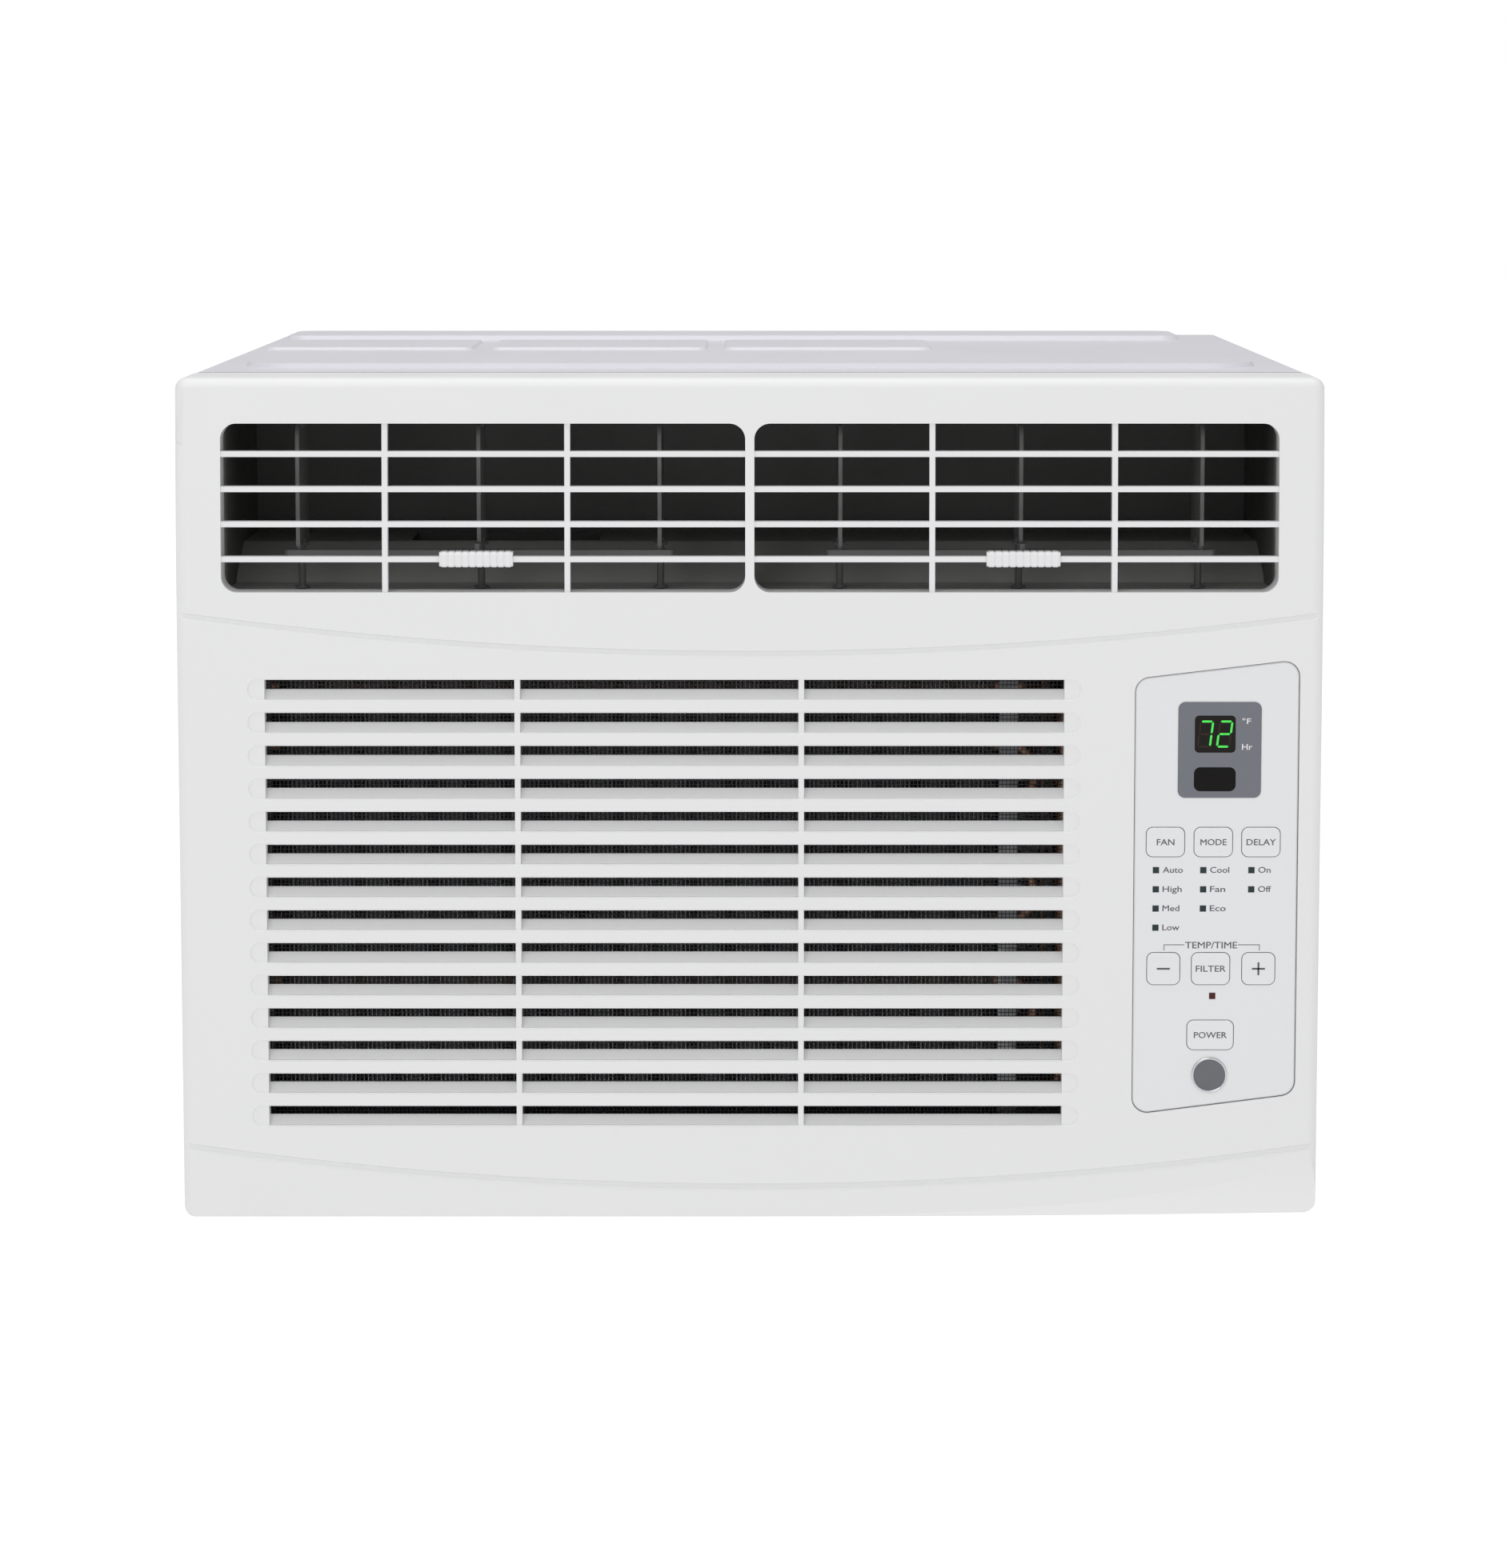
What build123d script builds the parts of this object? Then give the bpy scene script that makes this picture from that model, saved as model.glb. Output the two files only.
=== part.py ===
from build123d import *
import os
from math import cos, radians, sin, sqrt

os.makedirs("parts", exist_ok=True)

# Window air conditioner, in millimetres. X runs right, Y to the back (outdoors), Z up.
# The origin is on the standing surface, under the middle of the body.

# ---------------------------------------------------------------- driving dimensions
PANEL_W = 470.0
PANEL_TOP = 350.0
DEPTH = 395.0
PANEL_BOTTOM = 2.0
PANEL_DEPTH = 42.5
SKIN = 2.5
SHEET = 1.0
FIT_GAP = 0.3
SHAFT_CLEARANCE = 0.05

FRONT_Y = -DEPTH / 2
REAR_Y = DEPTH / 2
PANEL_BACK_Y = FRONT_Y + PANEL_DEPTH
INNER_FRONT_Y = FRONT_Y + SKIN

# front panel shape
CORNER_R = 5.0
EDGE_R = 4.5
LEAN_Z = 240.0
LEAN_BACK = 5.0
CHIN_H = 30.0
CHIN_SETBACK = 7.0
BARREL_HALF_W = PANEL_W / 2 - CORNER_R
# shallow arcs across the front: height at the sides, height in the middle
GROOVES = ((253.0, 236.8), (32.0, 14.4))
GROOVE_HALF_W = 1.6
GROOVE_DEPTH = 0.9
GROOVE_LIP = 0.1
GROOVE_FLOOR = (-0.4, 1.2)

# discharge windows and the bars across them
WINDOW_IN = 1.85
WINDOW_OUT = 216.2
WINDOW_BOTTOM = 262.3
WINDOW_TOP = 331.3
WINDOW_R = 6.5
COLLAR_T = 2.0
COLLAR_BACK_Y = FRONT_Y + 13.5
BAR_T = 2.3
BAR_DEPTH = 5.0
BAR_RECESS = 0.9
LOW_BAR_Z = 275.8
BAR_PITCH = 14.33
BAR_ROWS = 4
UPRIGHT_X = (74.6, 149.2)

# intake louvres
ROWS = 14
ROW_PITCH = 13.673
TOP_SLOT_Z = 226.3
SLOT_H = 8.1
SLOT_LEFT = -199.0
SLOT_RIGHT = 129.0
RIB_X = (-95.4, 21.1)
RIB_W = 2.3
RECESS_LEFT = -206.1
RECESS_RIGHT = 136.0
RECESS_H = 9.4
RECESS_DEPTH = 0.7
INSERT_MARGIN = 3.0
INSERT_BOTTOM = 37.0
INSERT_TOP = 235.0
BLADE_RISE = 3.7
BLADE_REACH = 3.0
BLADE_T = 1.2

# air filter, drawn out to the left
FILTER_Y = -181.7
FILTER_T = 3.6
FILTER_BOTTOM = 34.0
FILTER_TOP = 232.0
FILTER_RIGHT = 140.0
FILTER_RIM = 6.0
HANDLE_T = 4.0

# air vanes
VANE_X = (37.3, 111.9, 186.6)
VANE_T = 1.6
VANE_FRONT_Y = -177.5
VANE_BACK_Y = -140.0
VANE_PIVOT_Y = -162.0
VANE_BOTTOM = 279.6
VANE_TOP = 330.0
PIVOT_R = 1.5
LINK_Y = -173.5
LINK_Z = 276.4
LINK_H = 2.8
LINK_W = 5.0
LINK_PIN_R = 1.2
LINK_OVERHANG = 6.0
POST_Y = -187.0
POST_R = 1.4
KNOB_W = 30.0
KNOB_H = 6.5
KNOB_RIBS = 10

# air outlet duct
DUCT_X = 217.0
DUCT_FLOOR = 260.5
DUCT_CEILING = 332.5
DUCT_T = 1.5
DUCT_BACK_Y = -138.0

# control panel
CONTROL_CORNERS = ((157.8, 44.8), (225.5, 53.4), (225.5, 234.9), (157.8, 226.9))
CONTROL_R = 6.5
CONTROL_GAP = 0.35
CONTROL_FACE_Y = FRONT_Y + 0.4
CONTROL_BACK_Y = FRONT_Y + 2.6
KEY_TRAVEL = 0.6
KEY_R = 2.6
KEYS = {
    "fan_key": (170.9, 159.1, 15.6, 12.0),
    "mode_key": (190.6, 159.1, 15.6, 12.0),
    "delay_key": (210.2, 159.1, 15.6, 12.0),
    "minus_key": (170.5, 106.3, 13.4, 13.2),
    "filter_key": (190.0, 106.3, 15.6, 13.2),
    "plus_key": (209.7, 106.3, 13.4, 13.2),
    "power_key": (190.1, 78.5, 19.0, 12.2),
}
LIGHT_SIZE = 2.6
LIGHT_COLUMNS = ((167.1, 4), (186.6, 3), (206.4, 2))
LIGHT_TOP_Z = 147.4
LIGHT_PITCH = 8.0
FILTER_LIGHT = (190.8, 94.9)
BEZEL_X = 192.8
BEZEL_Z = 197.35
BEZEL_W = 34.2
BEZEL_H = 39.7
DIGITS_X = 190.9
DIGITS_Z = 203.9
DIGITS_W = 16.8
DIGITS_H = 15.4
EYE_Z = 185.2
EYE_W = 17.2
EYE_H = 10.0
BADGE_X = 189.9
BADGE_Z = 61.7
BADGE_R = 7.3

# case and base pan
CASE_X = 232.0
CASE_TOP = 350.3
NECK_TOP = 346.8
CASE_BOTTOM = 1.5
CASE_FRONT_Y = -170.0
STEP_Y = PANEL_BACK_Y + 0.5
CASE_CORNER_R = 3.0
PAN_T = 1.2
PAN_FLANGE = 25.0
PAN_FRONT_Y = -172.0
PAN_X = CASE_X - SHEET
PAN_BACK_Y = REAR_Y - SHEET
SCREW_Z = 14.0
SCREW_Y = (-120.0, 20.0, 150.0)
PANEL_SCREW_Y = -162.0
PANEL_SCREW_Z = (60.0, 300.0)
SCREW_R = 1.9
SCREW_HOLE_R = 2.2
SCREW_L = 7.0
HEAD_R = 3.8
HEAD_H = 1.4
CROSS_L = 5.0
CROSS_W = 0.9
RAIL_HOLE_Y = -148.0
RAIL_HOLE_Z = (100.0, 280.0)
RAIL_HOLE_R = 2.0
CORD_Y = -140.0
CORD_Z = 38.0
CORD_R = 4.3
BUSHING_NECK_R = 7.0
BUSHING_RIM_R = 10.0
DRAIN_X = 185.0
DRAIN_Y = 130.0
DRAIN_R = 6.0

# fans on one shaft
FAN_X = -45.0
FAN_Z = 148.0
SHAFT_R = 4.0
WHEEL_R = 93.0
WHEEL_INNER_R = 76.0
WHEEL_FRONT_Y = -122.0
WHEEL_BACK_Y = -62.0
WHEEL_BLADES = 36
PROP_R = 121.0
PROP_FRONT_Y = 78.0
PROP_BACK_Y = 102.0
PROP_BLADES = 5

# bulkhead and indoor air path
BULKHEAD_Y = -52.0
SCROLL_R = 101.0
SCROLL_FRONT_Y = -128.0
SCROLL_BACK_Y = -54.0
SCROLL_T = 2.0
SCROLL_TOP = 254.0
PLENUM_X = 220.0
PLENUM_TOP = 341.0
PLENUM_BASE = 255.0
PLENUM_SHELF = 275.0
PLENUM_T = 2.5

# coils
TUBE_R = 3.5
TUBE_WALL = 0.6
BEND_START = 3.0
FIN_T = 1.2
FIN_PITCH = 10.0
EVAP_LEFT = -200.0
EVAP_RIGHT = 104.0
EVAP_ROWS_Y = (-160.0, -146.0)
EVAP_FRONT_Y = -168.0
EVAP_BACK_Y = -138.0
EVAP_BOTTOM = 28.0
EVAP_TOP = 238.0
EVAP_FIRST_Z = 45.0
EVAP_PITCH = 25.0
EVAP_PASSES = 8
EVAP_STUB_X = 112.0
COND_LEFT = -206.0
COND_RIGHT = 196.0
COND_ROWS_Y = (160.0, 178.0)
COND_FRONT_Y = 148.0
COND_BACK_Y = 190.0
COND_BOTTOM = 12.0
COND_TOP = 334.0
COND_FIRST_Z = 30.0
COND_PITCH = 26.0
COND_PASSES = 12
COND_STUB_X = 208.0

# compressor corner
COMP_X = 160.0
COMP_Y = 28.0
COMP_R = 48.0
COMP_BOTTOM = 22.0
COMP_TOP = 206.0
COMP_FOOT_R = 63.0
FOOT_Z = 17.0
FOOT_T = 3.0
GROMMET_NECK_R = 6.0
SEAM_Z = 112.0
SEAM_STEP = 1.5
SEAM_H = 5.0
COMP_DOME_R = 28.0
COMP_BASE_R = 12.0
FOOT_DISC_R = 44.0
FOOT_EAR_R = 12.0
COMP_NECK_R = 32.0
GROMMET_TOP = 23.0
NUT_R = 5.8
STUD_R = 3.0
STUD_TOP = 32.0
ACC_X = 92.0
ACC_Y = -20.0
ACC_R = 20.0
ACC_BOTTOM = 60.0
ACC_TOP = 190.0
DRIER_X = 221.0
DRIER_Y = 95.0
DRIER_R = 8.0
DRIER_BOTTOM = 60.0
DRIER_TOP = 130.0


# ---------------------------------------------------------------- helpers
def upright(y):
    """Plane facing forward at depth y: sketches are X by Z, and extrusions run to the front."""
    return Plane.XZ.offset(-y)


def sideways(x, direction=1):
    """Plane facing out to the right (1) or left (-1) at x: its axis is along X."""
    return Plane(origin=(x, 0, 0), x_dir=(0, direction, 0), z_dir=(direction, 0, 0))


LEAN_R = ((PANEL_TOP - LEAN_Z) ** 2 + LEAN_BACK**2) / (2 * LEAN_BACK)
CHIN_R = (CHIN_H**2 + CHIN_SETBACK**2) / (2 * CHIN_SETBACK)
CHIN_TOP = PANEL_BOTTOM + CHIN_H
BARREL_R = BARREL_HALF_W**2 / (2 * CHIN_SETBACK)


def front_y(z, inset=0.0):
    """Depth of the panel's front at height z, where it leans back above LEAN_Z."""
    if z <= LEAN_Z:
        return FRONT_Y + inset
    return FRONT_Y + LEAN_R - sqrt((LEAN_R - inset) ** 2 - (z - LEAN_Z) ** 2)


def chin_y(z, inset=0.0):
    """Depth of the barrel-shaped chin on the panel's middle line at height z."""
    centre_y = FRONT_Y - CHIN_SETBACK + CHIN_R
    return centre_y - sqrt((CHIN_R - inset) ** 2 - (CHIN_TOP - z) ** 2)


def panel_form(inset, back_y=PANEL_BACK_Y):
    """The front panel's outer form, drawn in by inset on every side but the back."""
    mid_z = (PANEL_BOTTOM + PANEL_TOP) / 2
    width = PANEL_W - 2 * inset
    height = PANEL_TOP - PANEL_BOTTOM - 2 * inset
    above = PANEL_TOP + 10
    below = PANEL_BOTTOM - 20
    with BuildPart() as form:
        with BuildSketch(upright(back_y)):
            with Locations((0, mid_z - 10)):
                RectangleRounded(width, height + 20, CORNER_R - inset)
        extrude(amount=back_y - FRONT_Y)
        with BuildSketch(Plane.YZ):
            with BuildLine():
                Line((front_y(0, inset), below), (front_y(0, inset), LEAN_Z))
                ThreePointArc(
                    (front_y(0, inset), LEAN_Z),
                    (front_y((LEAN_Z + above) / 2, inset), (LEAN_Z + above) / 2),
                    (front_y(above, inset), above),
                )
                Polyline(
                    (front_y(above, inset), above), (0, above), (0, below), (front_y(0, inset), below)
                )
            make_face()
        extrude(amount=PANEL_W, both=True, mode=Mode.INTERSECT)
        faces_in_front = form.faces().filter_by(lambda face: face.normal_at().Y < -0.9)
        rim = [edge for edge in faces_in_front.edges() if abs(edge.center().Z - LEAN_Z) > 0.1 or
               abs(edge.center().X) > 1]
        fillet(rim, EDGE_R - inset)
        with BuildSketch(upright(back_y)):
            with Locations((0, mid_z)):
                RectangleRounded(width, height, CORNER_R - inset)
        extrude(amount=PANEL_DEPTH + 40, mode=Mode.INTERSECT)
        with BuildSketch(Plane.YZ):
            with BuildLine():
                low = PANEL_BOTTOM + min(inset, 1.0) - 0.5
                mid = (low + CHIN_TOP) / 2
                top_y = chin_y(CHIN_TOP, inset)
                ThreePointArc((chin_y(low, inset), low), (chin_y(mid, inset), mid), (top_y, CHIN_TOP))
                Polyline(
                    (top_y, CHIN_TOP), (top_y, above), (FRONT_Y + BARREL_R, above),
                    (FRONT_Y + BARREL_R, low), (chin_y(low, inset), low),
                )
            make_face()
        revolve(axis=Axis((0, FRONT_Y + BARREL_R, 0), (0, 0, 1)), mode=Mode.INTERSECT)
    return form.part


def groove(end_z, middle_z):
    """Bead that cuts one shallow arc across the whole front: steep above, with a long slope below."""
    half = PANEL_W / 2 + 1
    with BuildPart() as cutter:
        with BuildLine(upright(FRONT_Y)) as path:
            ThreePointArc((-half, end_z), (0, middle_z), (half, end_z))
        start = Plane(origin=path.line @ 0, x_dir=(0, 1, 0), z_dir=path.line % 0)
        with BuildSketch(start):
            with BuildLine():
                Polyline(
                    (-1.0, -GROOVE_HALF_W), (GROOVE_LIP, -GROOVE_HALF_W), (GROOVE_DEPTH, GROOVE_FLOOR[0]),
                    (GROOVE_DEPTH, GROOVE_FLOOR[1]), (GROOVE_LIP, GROOVE_HALF_W), (-1.0, GROOVE_HALF_W),
                    close=True,
                )
            make_face()
        sweep(path=path.line)
    return cutter.part


def control_outline(grow=0.0):
    """Slanted, rounded outline of the control panel, grown all round."""
    with BuildSketch() as outline:
        with BuildLine():
            Polyline(*CONTROL_CORNERS, close=True)
        make_face()
        fillet(outline.vertices(), CONTROL_R)
        if grow:
            offset(amount=grow)
    return outline.sketch


def tube(path, radius, wall=TUBE_WALL):
    """Hollow tube swept along a path."""
    with BuildPart() as piece:
        with BuildSketch(Plane(origin=path @ 0, z_dir=path % 0)):
            Circle(radius)
            Circle(radius - wall, mode=Mode.SUBTRACT)
        sweep(path=path)
    return piece.part


def serpentine(left, right, row_y, first_z, pitch, passes, stub_x):
    """One row of a coil: straight passes joined by half-round bends, both ends on the right."""
    with BuildLine(upright(row_y)) as path:
        start_x = stub_x
        z = first_z
        for index in range(passes):
            leftward = index % 2 == 0
            end_x = left if leftward else right
            if index == passes - 1:
                end_x = stub_x
            Line((start_x, z), (end_x, z))
            if index < passes - 1:
                bulge = -pitch / 2 if leftward else pitch / 2
                ThreePointArc((end_x, z), (end_x + bulge, z + pitch / 2), (end_x, z + pitch))
            start_x = end_x
            z += pitch
    return path.line


def row_heights(first_z, pitch, passes):
    """Heights of a coil's tube passes."""
    return [first_z + pitch * index for index in range(passes)]


# ---------------------------------------------------------------- base pan
EVAP_MID_Y = (EVAP_FRONT_Y + EVAP_BACK_Y) / 2
COND_MID_Y = (COND_FRONT_Y + COND_BACK_Y) / 2
PAD_W = 24.0
PAD_R = 4.0
PAD_INSET = 25.0

with BuildPart() as base_pan:
    mid_y = (PAN_FRONT_Y + PAN_BACK_Y) / 2
    length_y = PAN_BACK_Y - PAN_FRONT_Y
    with BuildSketch():
        with Locations((0, mid_y)):
            RectangleRounded(2 * PAN_X, length_y, 3)
    extrude(amount=PAN_FLANGE)
    with BuildSketch(Plane.XY.offset(PAN_T)):
        with Locations((0, mid_y)):
            RectangleRounded(2 * (PAN_X - PAN_T), length_y - 2 * PAN_T, 2)
    extrude(amount=PAN_FLANGE, mode=Mode.SUBTRACT)
    # raised pads under the two coils
    with BuildSketch(Plane.XY.offset(PAN_T)):
        with Locations((EVAP_LEFT + PAD_INSET, EVAP_MID_Y), (EVAP_RIGHT - PAD_INSET, EVAP_MID_Y)):
            RectangleRounded(PAD_W, EVAP_BACK_Y - EVAP_FRONT_Y - 4, PAD_R)
    extrude(amount=EVAP_BOTTOM - PAN_T)
    with BuildSketch(Plane.XY.offset(PAN_T)):
        with Locations(
            (COND_LEFT + PAD_INSET, COND_MID_Y), (0, COND_MID_Y), (COND_RIGHT - PAD_INSET, COND_MID_Y),
        ):
            RectangleRounded(PAD_W, COND_BACK_Y - COND_FRONT_Y - 8, PAD_R)
    extrude(amount=COND_BOTTOM - PAN_T)
    # compressor studs
    with BuildSketch(Plane.XY.offset(PAN_T)):
        with Locations((COMP_X, COMP_Y)):
            with PolarLocations(COMP_FOOT_R, 3, 90):
                Circle(STUD_R)
    extrude(amount=STUD_TOP - PAN_T)
    with Locations((DRAIN_X, DRAIN_Y, PAN_T)):
        Hole(DRAIN_R)
    for side in (-1, 1):
        with BuildSketch(sideways(side * (PAN_X - 5), side)):
            with Locations(*[(side * y, SCREW_Z) for y in SCREW_Y]):
                Circle(SCREW_HOLE_R)
        extrude(amount=10, mode=Mode.SUBTRACT)

base_pan.part.label = "base_pan"
export_step(base_pan.part, "parts/base_pan.step")

# ---------------------------------------------------------------- painted case
LOUVRE_ROWS = 9
LOUVRE_PITCH = 22.0
LOUVRE_BOTTOM = 90.0
LOUVRE_L = 52.0
LOUVRE_Y = (50.0, 122.0)
LOUVRE_HOOD = 2.2
BEAD_H = 2.0
REAR_RIDGE_H = 2.3
PRESS_H = 1.2
PRESS_Y = 78.0
PRESS_D = 80.0
BEAD_Y = -103.0
BEAD_L = 432.0
BEAD_D = 40.0
RIDGE_X = -9.0
RIDGE_Y = 164.0
RIDGE_W = 434.0
RIDGE_D = 58.0
REAR_WINDOW = (-2.0, 176.0)
REAR_WINDOW_W = 404.0
REAR_WINDOW_H = 310.0
# pressed panels on top: left edge, right edge
TOP_PANELS = ((-225.0, -128.0), (-121.0, -20.0), (-13.0, 84.0))



def case_section(top, inset=0.0):
    """The case's section with its top at the given height, drawn in by inset; open at the bottom."""
    with BuildSketch() as section:
        with Locations((0, (CASE_BOTTOM + top) / 2 - inset)):
            Rectangle(2 * (CASE_X - inset), top - CASE_BOTTOM)
        fillet(section.vertices().group_by(Axis.Y)[-1], CASE_CORNER_R - inset)
    return section.sketch


with BuildPart() as case:
    with BuildSketch(upright(REAR_Y)):
        add(case_section(CASE_TOP))
    extrude(amount=REAR_Y - STEP_Y)
    with BuildSketch(upright(REAR_Y - SHEET)):
        add(case_section(CASE_TOP, SHEET))
    extrude(amount=REAR_Y - STEP_Y - 2 * SHEET, mode=Mode.SUBTRACT)
    # lower neck that goes in under the front panel's rim
    with BuildSketch(upright(STEP_Y)):
        add(case_section(NECK_TOP))
    extrude(amount=STEP_Y - CASE_FRONT_Y)
    with BuildSketch(upright(STEP_Y + 2 * SHEET)):
        add(case_section(NECK_TOP, SHEET))
    extrude(amount=STEP_Y - CASE_FRONT_Y + 3 * SHEET, mode=Mode.SUBTRACT)
    # rear opening over the condenser
    with BuildSketch(upright(REAR_Y)):
        with Locations(REAR_WINDOW):
            RectangleRounded(REAR_WINDOW_W, REAR_WINDOW_H, 6)
    extrude(amount=2 * SHEET, mode=Mode.SUBTRACT)
    # long bead near the front, pressed panels, and the raised ridge at the back
    with BuildSketch(Plane.XY.offset(CASE_TOP - 0.2)):
        with Locations((0, BEAD_Y)):
            SlotOverall(BEAD_L, BEAD_D)
    extrude(amount=BEAD_H + 0.2, taper=30)
    with BuildSketch(Plane.XY.offset(CASE_TOP - 0.2)):
        for left, right in TOP_PANELS:
            with Locations(((left + right) / 2, PRESS_Y)):
                RectangleRounded(right - left, PRESS_D, 6)
    extrude(amount=PRESS_H + 0.2, taper=45)
    with BuildSketch(Plane.XY.offset(CASE_TOP - 0.2)):
        with Locations((RIDGE_X, RIDGE_Y)):
            RectangleRounded(RIDGE_W, RIDGE_D, 10)
    extrude(amount=REAR_RIDGE_H + 0.2, taper=35)
    # side holes: pan screws, panel screws, mounting rail and the cord inlet
    for side in (-1, 1):
        with BuildSketch(sideways(side * (CASE_X - 5), side)):
            with Locations(*[(side * y, SCREW_Z) for y in SCREW_Y]):
                Circle(SCREW_HOLE_R)
            with Locations(*[(side * PANEL_SCREW_Y, z) for z in PANEL_SCREW_Z]):
                Circle(SCREW_HOLE_R)
            with Locations(*[(side * RAIL_HOLE_Y, z) for z in RAIL_HOLE_Z]):
                Circle(RAIL_HOLE_R)
        extrude(amount=10, mode=Mode.SUBTRACT)
    with BuildSketch(sideways(CASE_X - 5)):
        with Locations((CORD_Y, CORD_Z)):
            Circle(BUSHING_NECK_R)
    extrude(amount=10, mode=Mode.SUBTRACT)
    # side louvres: slots under pressed hoods that open downwards
    for side in (-1, 1):
        with BuildSketch(sideways(side * (CASE_X - 5), side)):
            for y in LOUVRE_Y:
                for row in range(LOUVRE_ROWS):
                    with Locations((side * y, LOUVRE_BOTTOM + row * LOUVRE_PITCH + 3)):
                        Rectangle(LOUVRE_L, 6)
        extrude(amount=10, mode=Mode.SUBTRACT)
        for y in LOUVRE_Y:
            with BuildSketch(upright(y + LOUVRE_L / 2)):
                for row in range(LOUVRE_ROWS):
                    z = LOUVRE_BOTTOM + row * LOUVRE_PITCH
                    with BuildLine():
                        Polyline(
                            (side * (CASE_X - SHEET), z + 6.3), (side * CASE_X, z + 7.4),
                            (side * (CASE_X + LOUVRE_HOOD), z + 1.2),
                            (side * (CASE_X + LOUVRE_HOOD - 0.9), z + 1.2), close=True,
                        )
                    make_face()
            extrude(amount=LOUVRE_L)

case.part.label = "case"
export_step(case.part, "parts/case.step")

# ---------------------------------------------------------------- front panel
WINDOW_W = WINDOW_OUT - WINDOW_IN
WINDOW_H = WINDOW_TOP - WINDOW_BOTTOM
WINDOW_X = (WINDOW_IN + WINDOW_OUT) / 2
WINDOW_Z = (WINDOW_BOTTOM + WINDOW_TOP) / 2
INSERT_LEFT = RECESS_LEFT - INSERT_MARGIN
INSERT_RIGHT = RECESS_RIGHT + INSERT_MARGIN
INSERT_X = (INSERT_LEFT + INSERT_RIGHT) / 2
INSERT_Z = (INSERT_BOTTOM + INSERT_TOP) / 2
INSERT_W = INSERT_RIGHT - INSERT_LEFT
INSERT_H = INSERT_TOP - INSERT_BOTTOM
INSERT_R = 6.0

with BuildPart() as window_collars:
    with BuildSketch(upright(COLLAR_BACK_Y)):
        with Locations((-WINDOW_X, WINDOW_Z), (WINDOW_X, WINDOW_Z)):
            RectangleRounded(WINDOW_W + 2 * COLLAR_T, WINDOW_H + 2 * COLLAR_T, WINDOW_R + COLLAR_T)
    extrude(amount=COLLAR_BACK_Y - FRONT_Y)
    add(panel_form(SKIN / 2), mode=Mode.INTERSECT)

with BuildPart() as front_panel:
    add(panel_form(0))
    add(panel_form(SKIN, PANEL_BACK_Y + 1), mode=Mode.SUBTRACT)
    add(window_collars.part)
    with BuildSketch(upright(COLLAR_BACK_Y + 1)):
        with Locations((-WINDOW_X, WINDOW_Z), (WINDOW_X, WINDOW_Z)):
            RectangleRounded(WINDOW_W, WINDOW_H, WINDOW_R)
    extrude(amount=PANEL_DEPTH, mode=Mode.SUBTRACT)
    # opening for the louvre insert, and the control panel's slanted opening
    with BuildSketch(upright(INNER_FRONT_Y + 1)):
        with Locations((INSERT_X, INSERT_Z)):
            RectangleRounded(INSERT_W, INSERT_H, INSERT_R)
        add(control_outline())
    extrude(amount=PANEL_DEPTH, mode=Mode.SUBTRACT)
    for end_z, middle_z in GROOVES:
        add(groove(end_z, middle_z), mode=Mode.SUBTRACT)
    # the bottom wall stops short, clear of the base pan
    with Locations((0, (PAN_FRONT_Y - 2 + PANEL_BACK_Y) / 2, PANEL_BOTTOM)):
        Box(PANEL_W + 2, PANEL_BACK_Y - PAN_FRONT_Y + 2, 12, mode=Mode.SUBTRACT)
    # slot in the left wall where the filter is drawn out
    with Locations((-PANEL_W / 2, FILTER_Y, (FILTER_BOTTOM + FILTER_TOP) / 2)):
        Box(4 * SKIN, FILTER_T + 3, FILTER_TOP - FILTER_BOTTOM + 0.4, mode=Mode.SUBTRACT)
    # counterbored screw holes in the side walls
    for side in (-1, 1):
        with BuildSketch(sideways(side * (PANEL_W / 2 - 5), side)):
            with Locations(*[(side * PANEL_SCREW_Y, z) for z in PANEL_SCREW_Z]):
                Circle(SCREW_HOLE_R)
        extrude(amount=10, mode=Mode.SUBTRACT)
        with BuildSketch(sideways(side * (PANEL_W / 2 - HEAD_H - 0.1), side)):
            with Locations(*[(side * PANEL_SCREW_Y, z) for z in PANEL_SCREW_Z]):
                Circle(HEAD_R + 0.3)
        extrude(amount=5, mode=Mode.SUBTRACT)

front_panel.part.label = "front_panel"
export_step(front_panel.part, "parts/front_panel.step")

# ---------------------------------------------------------------- intake louvre insert
SLOT_BOTTOMS = [TOP_SLOT_Z - SLOT_H - ROW_PITCH * row for row in range(ROWS)]
RIB_EDGES = [SLOT_LEFT, RIB_X[0] - RIB_W / 2, RIB_X[0] + RIB_W / 2,
             RIB_X[1] - RIB_W / 2, RIB_X[1] + RIB_W / 2, SLOT_RIGHT]
RIB_BACK_Y = INNER_FRONT_Y + 4.8
GUIDE_GAP = 0.6
GUIDE_FRONT_Y = FILTER_Y - FILTER_T / 2 - GUIDE_GAP
GUIDE_BACK_Y = FILTER_Y + FILTER_T / 2 + GUIDE_GAP
GUIDE_T = 1.6
GUIDE_LIP = 4.0

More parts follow.
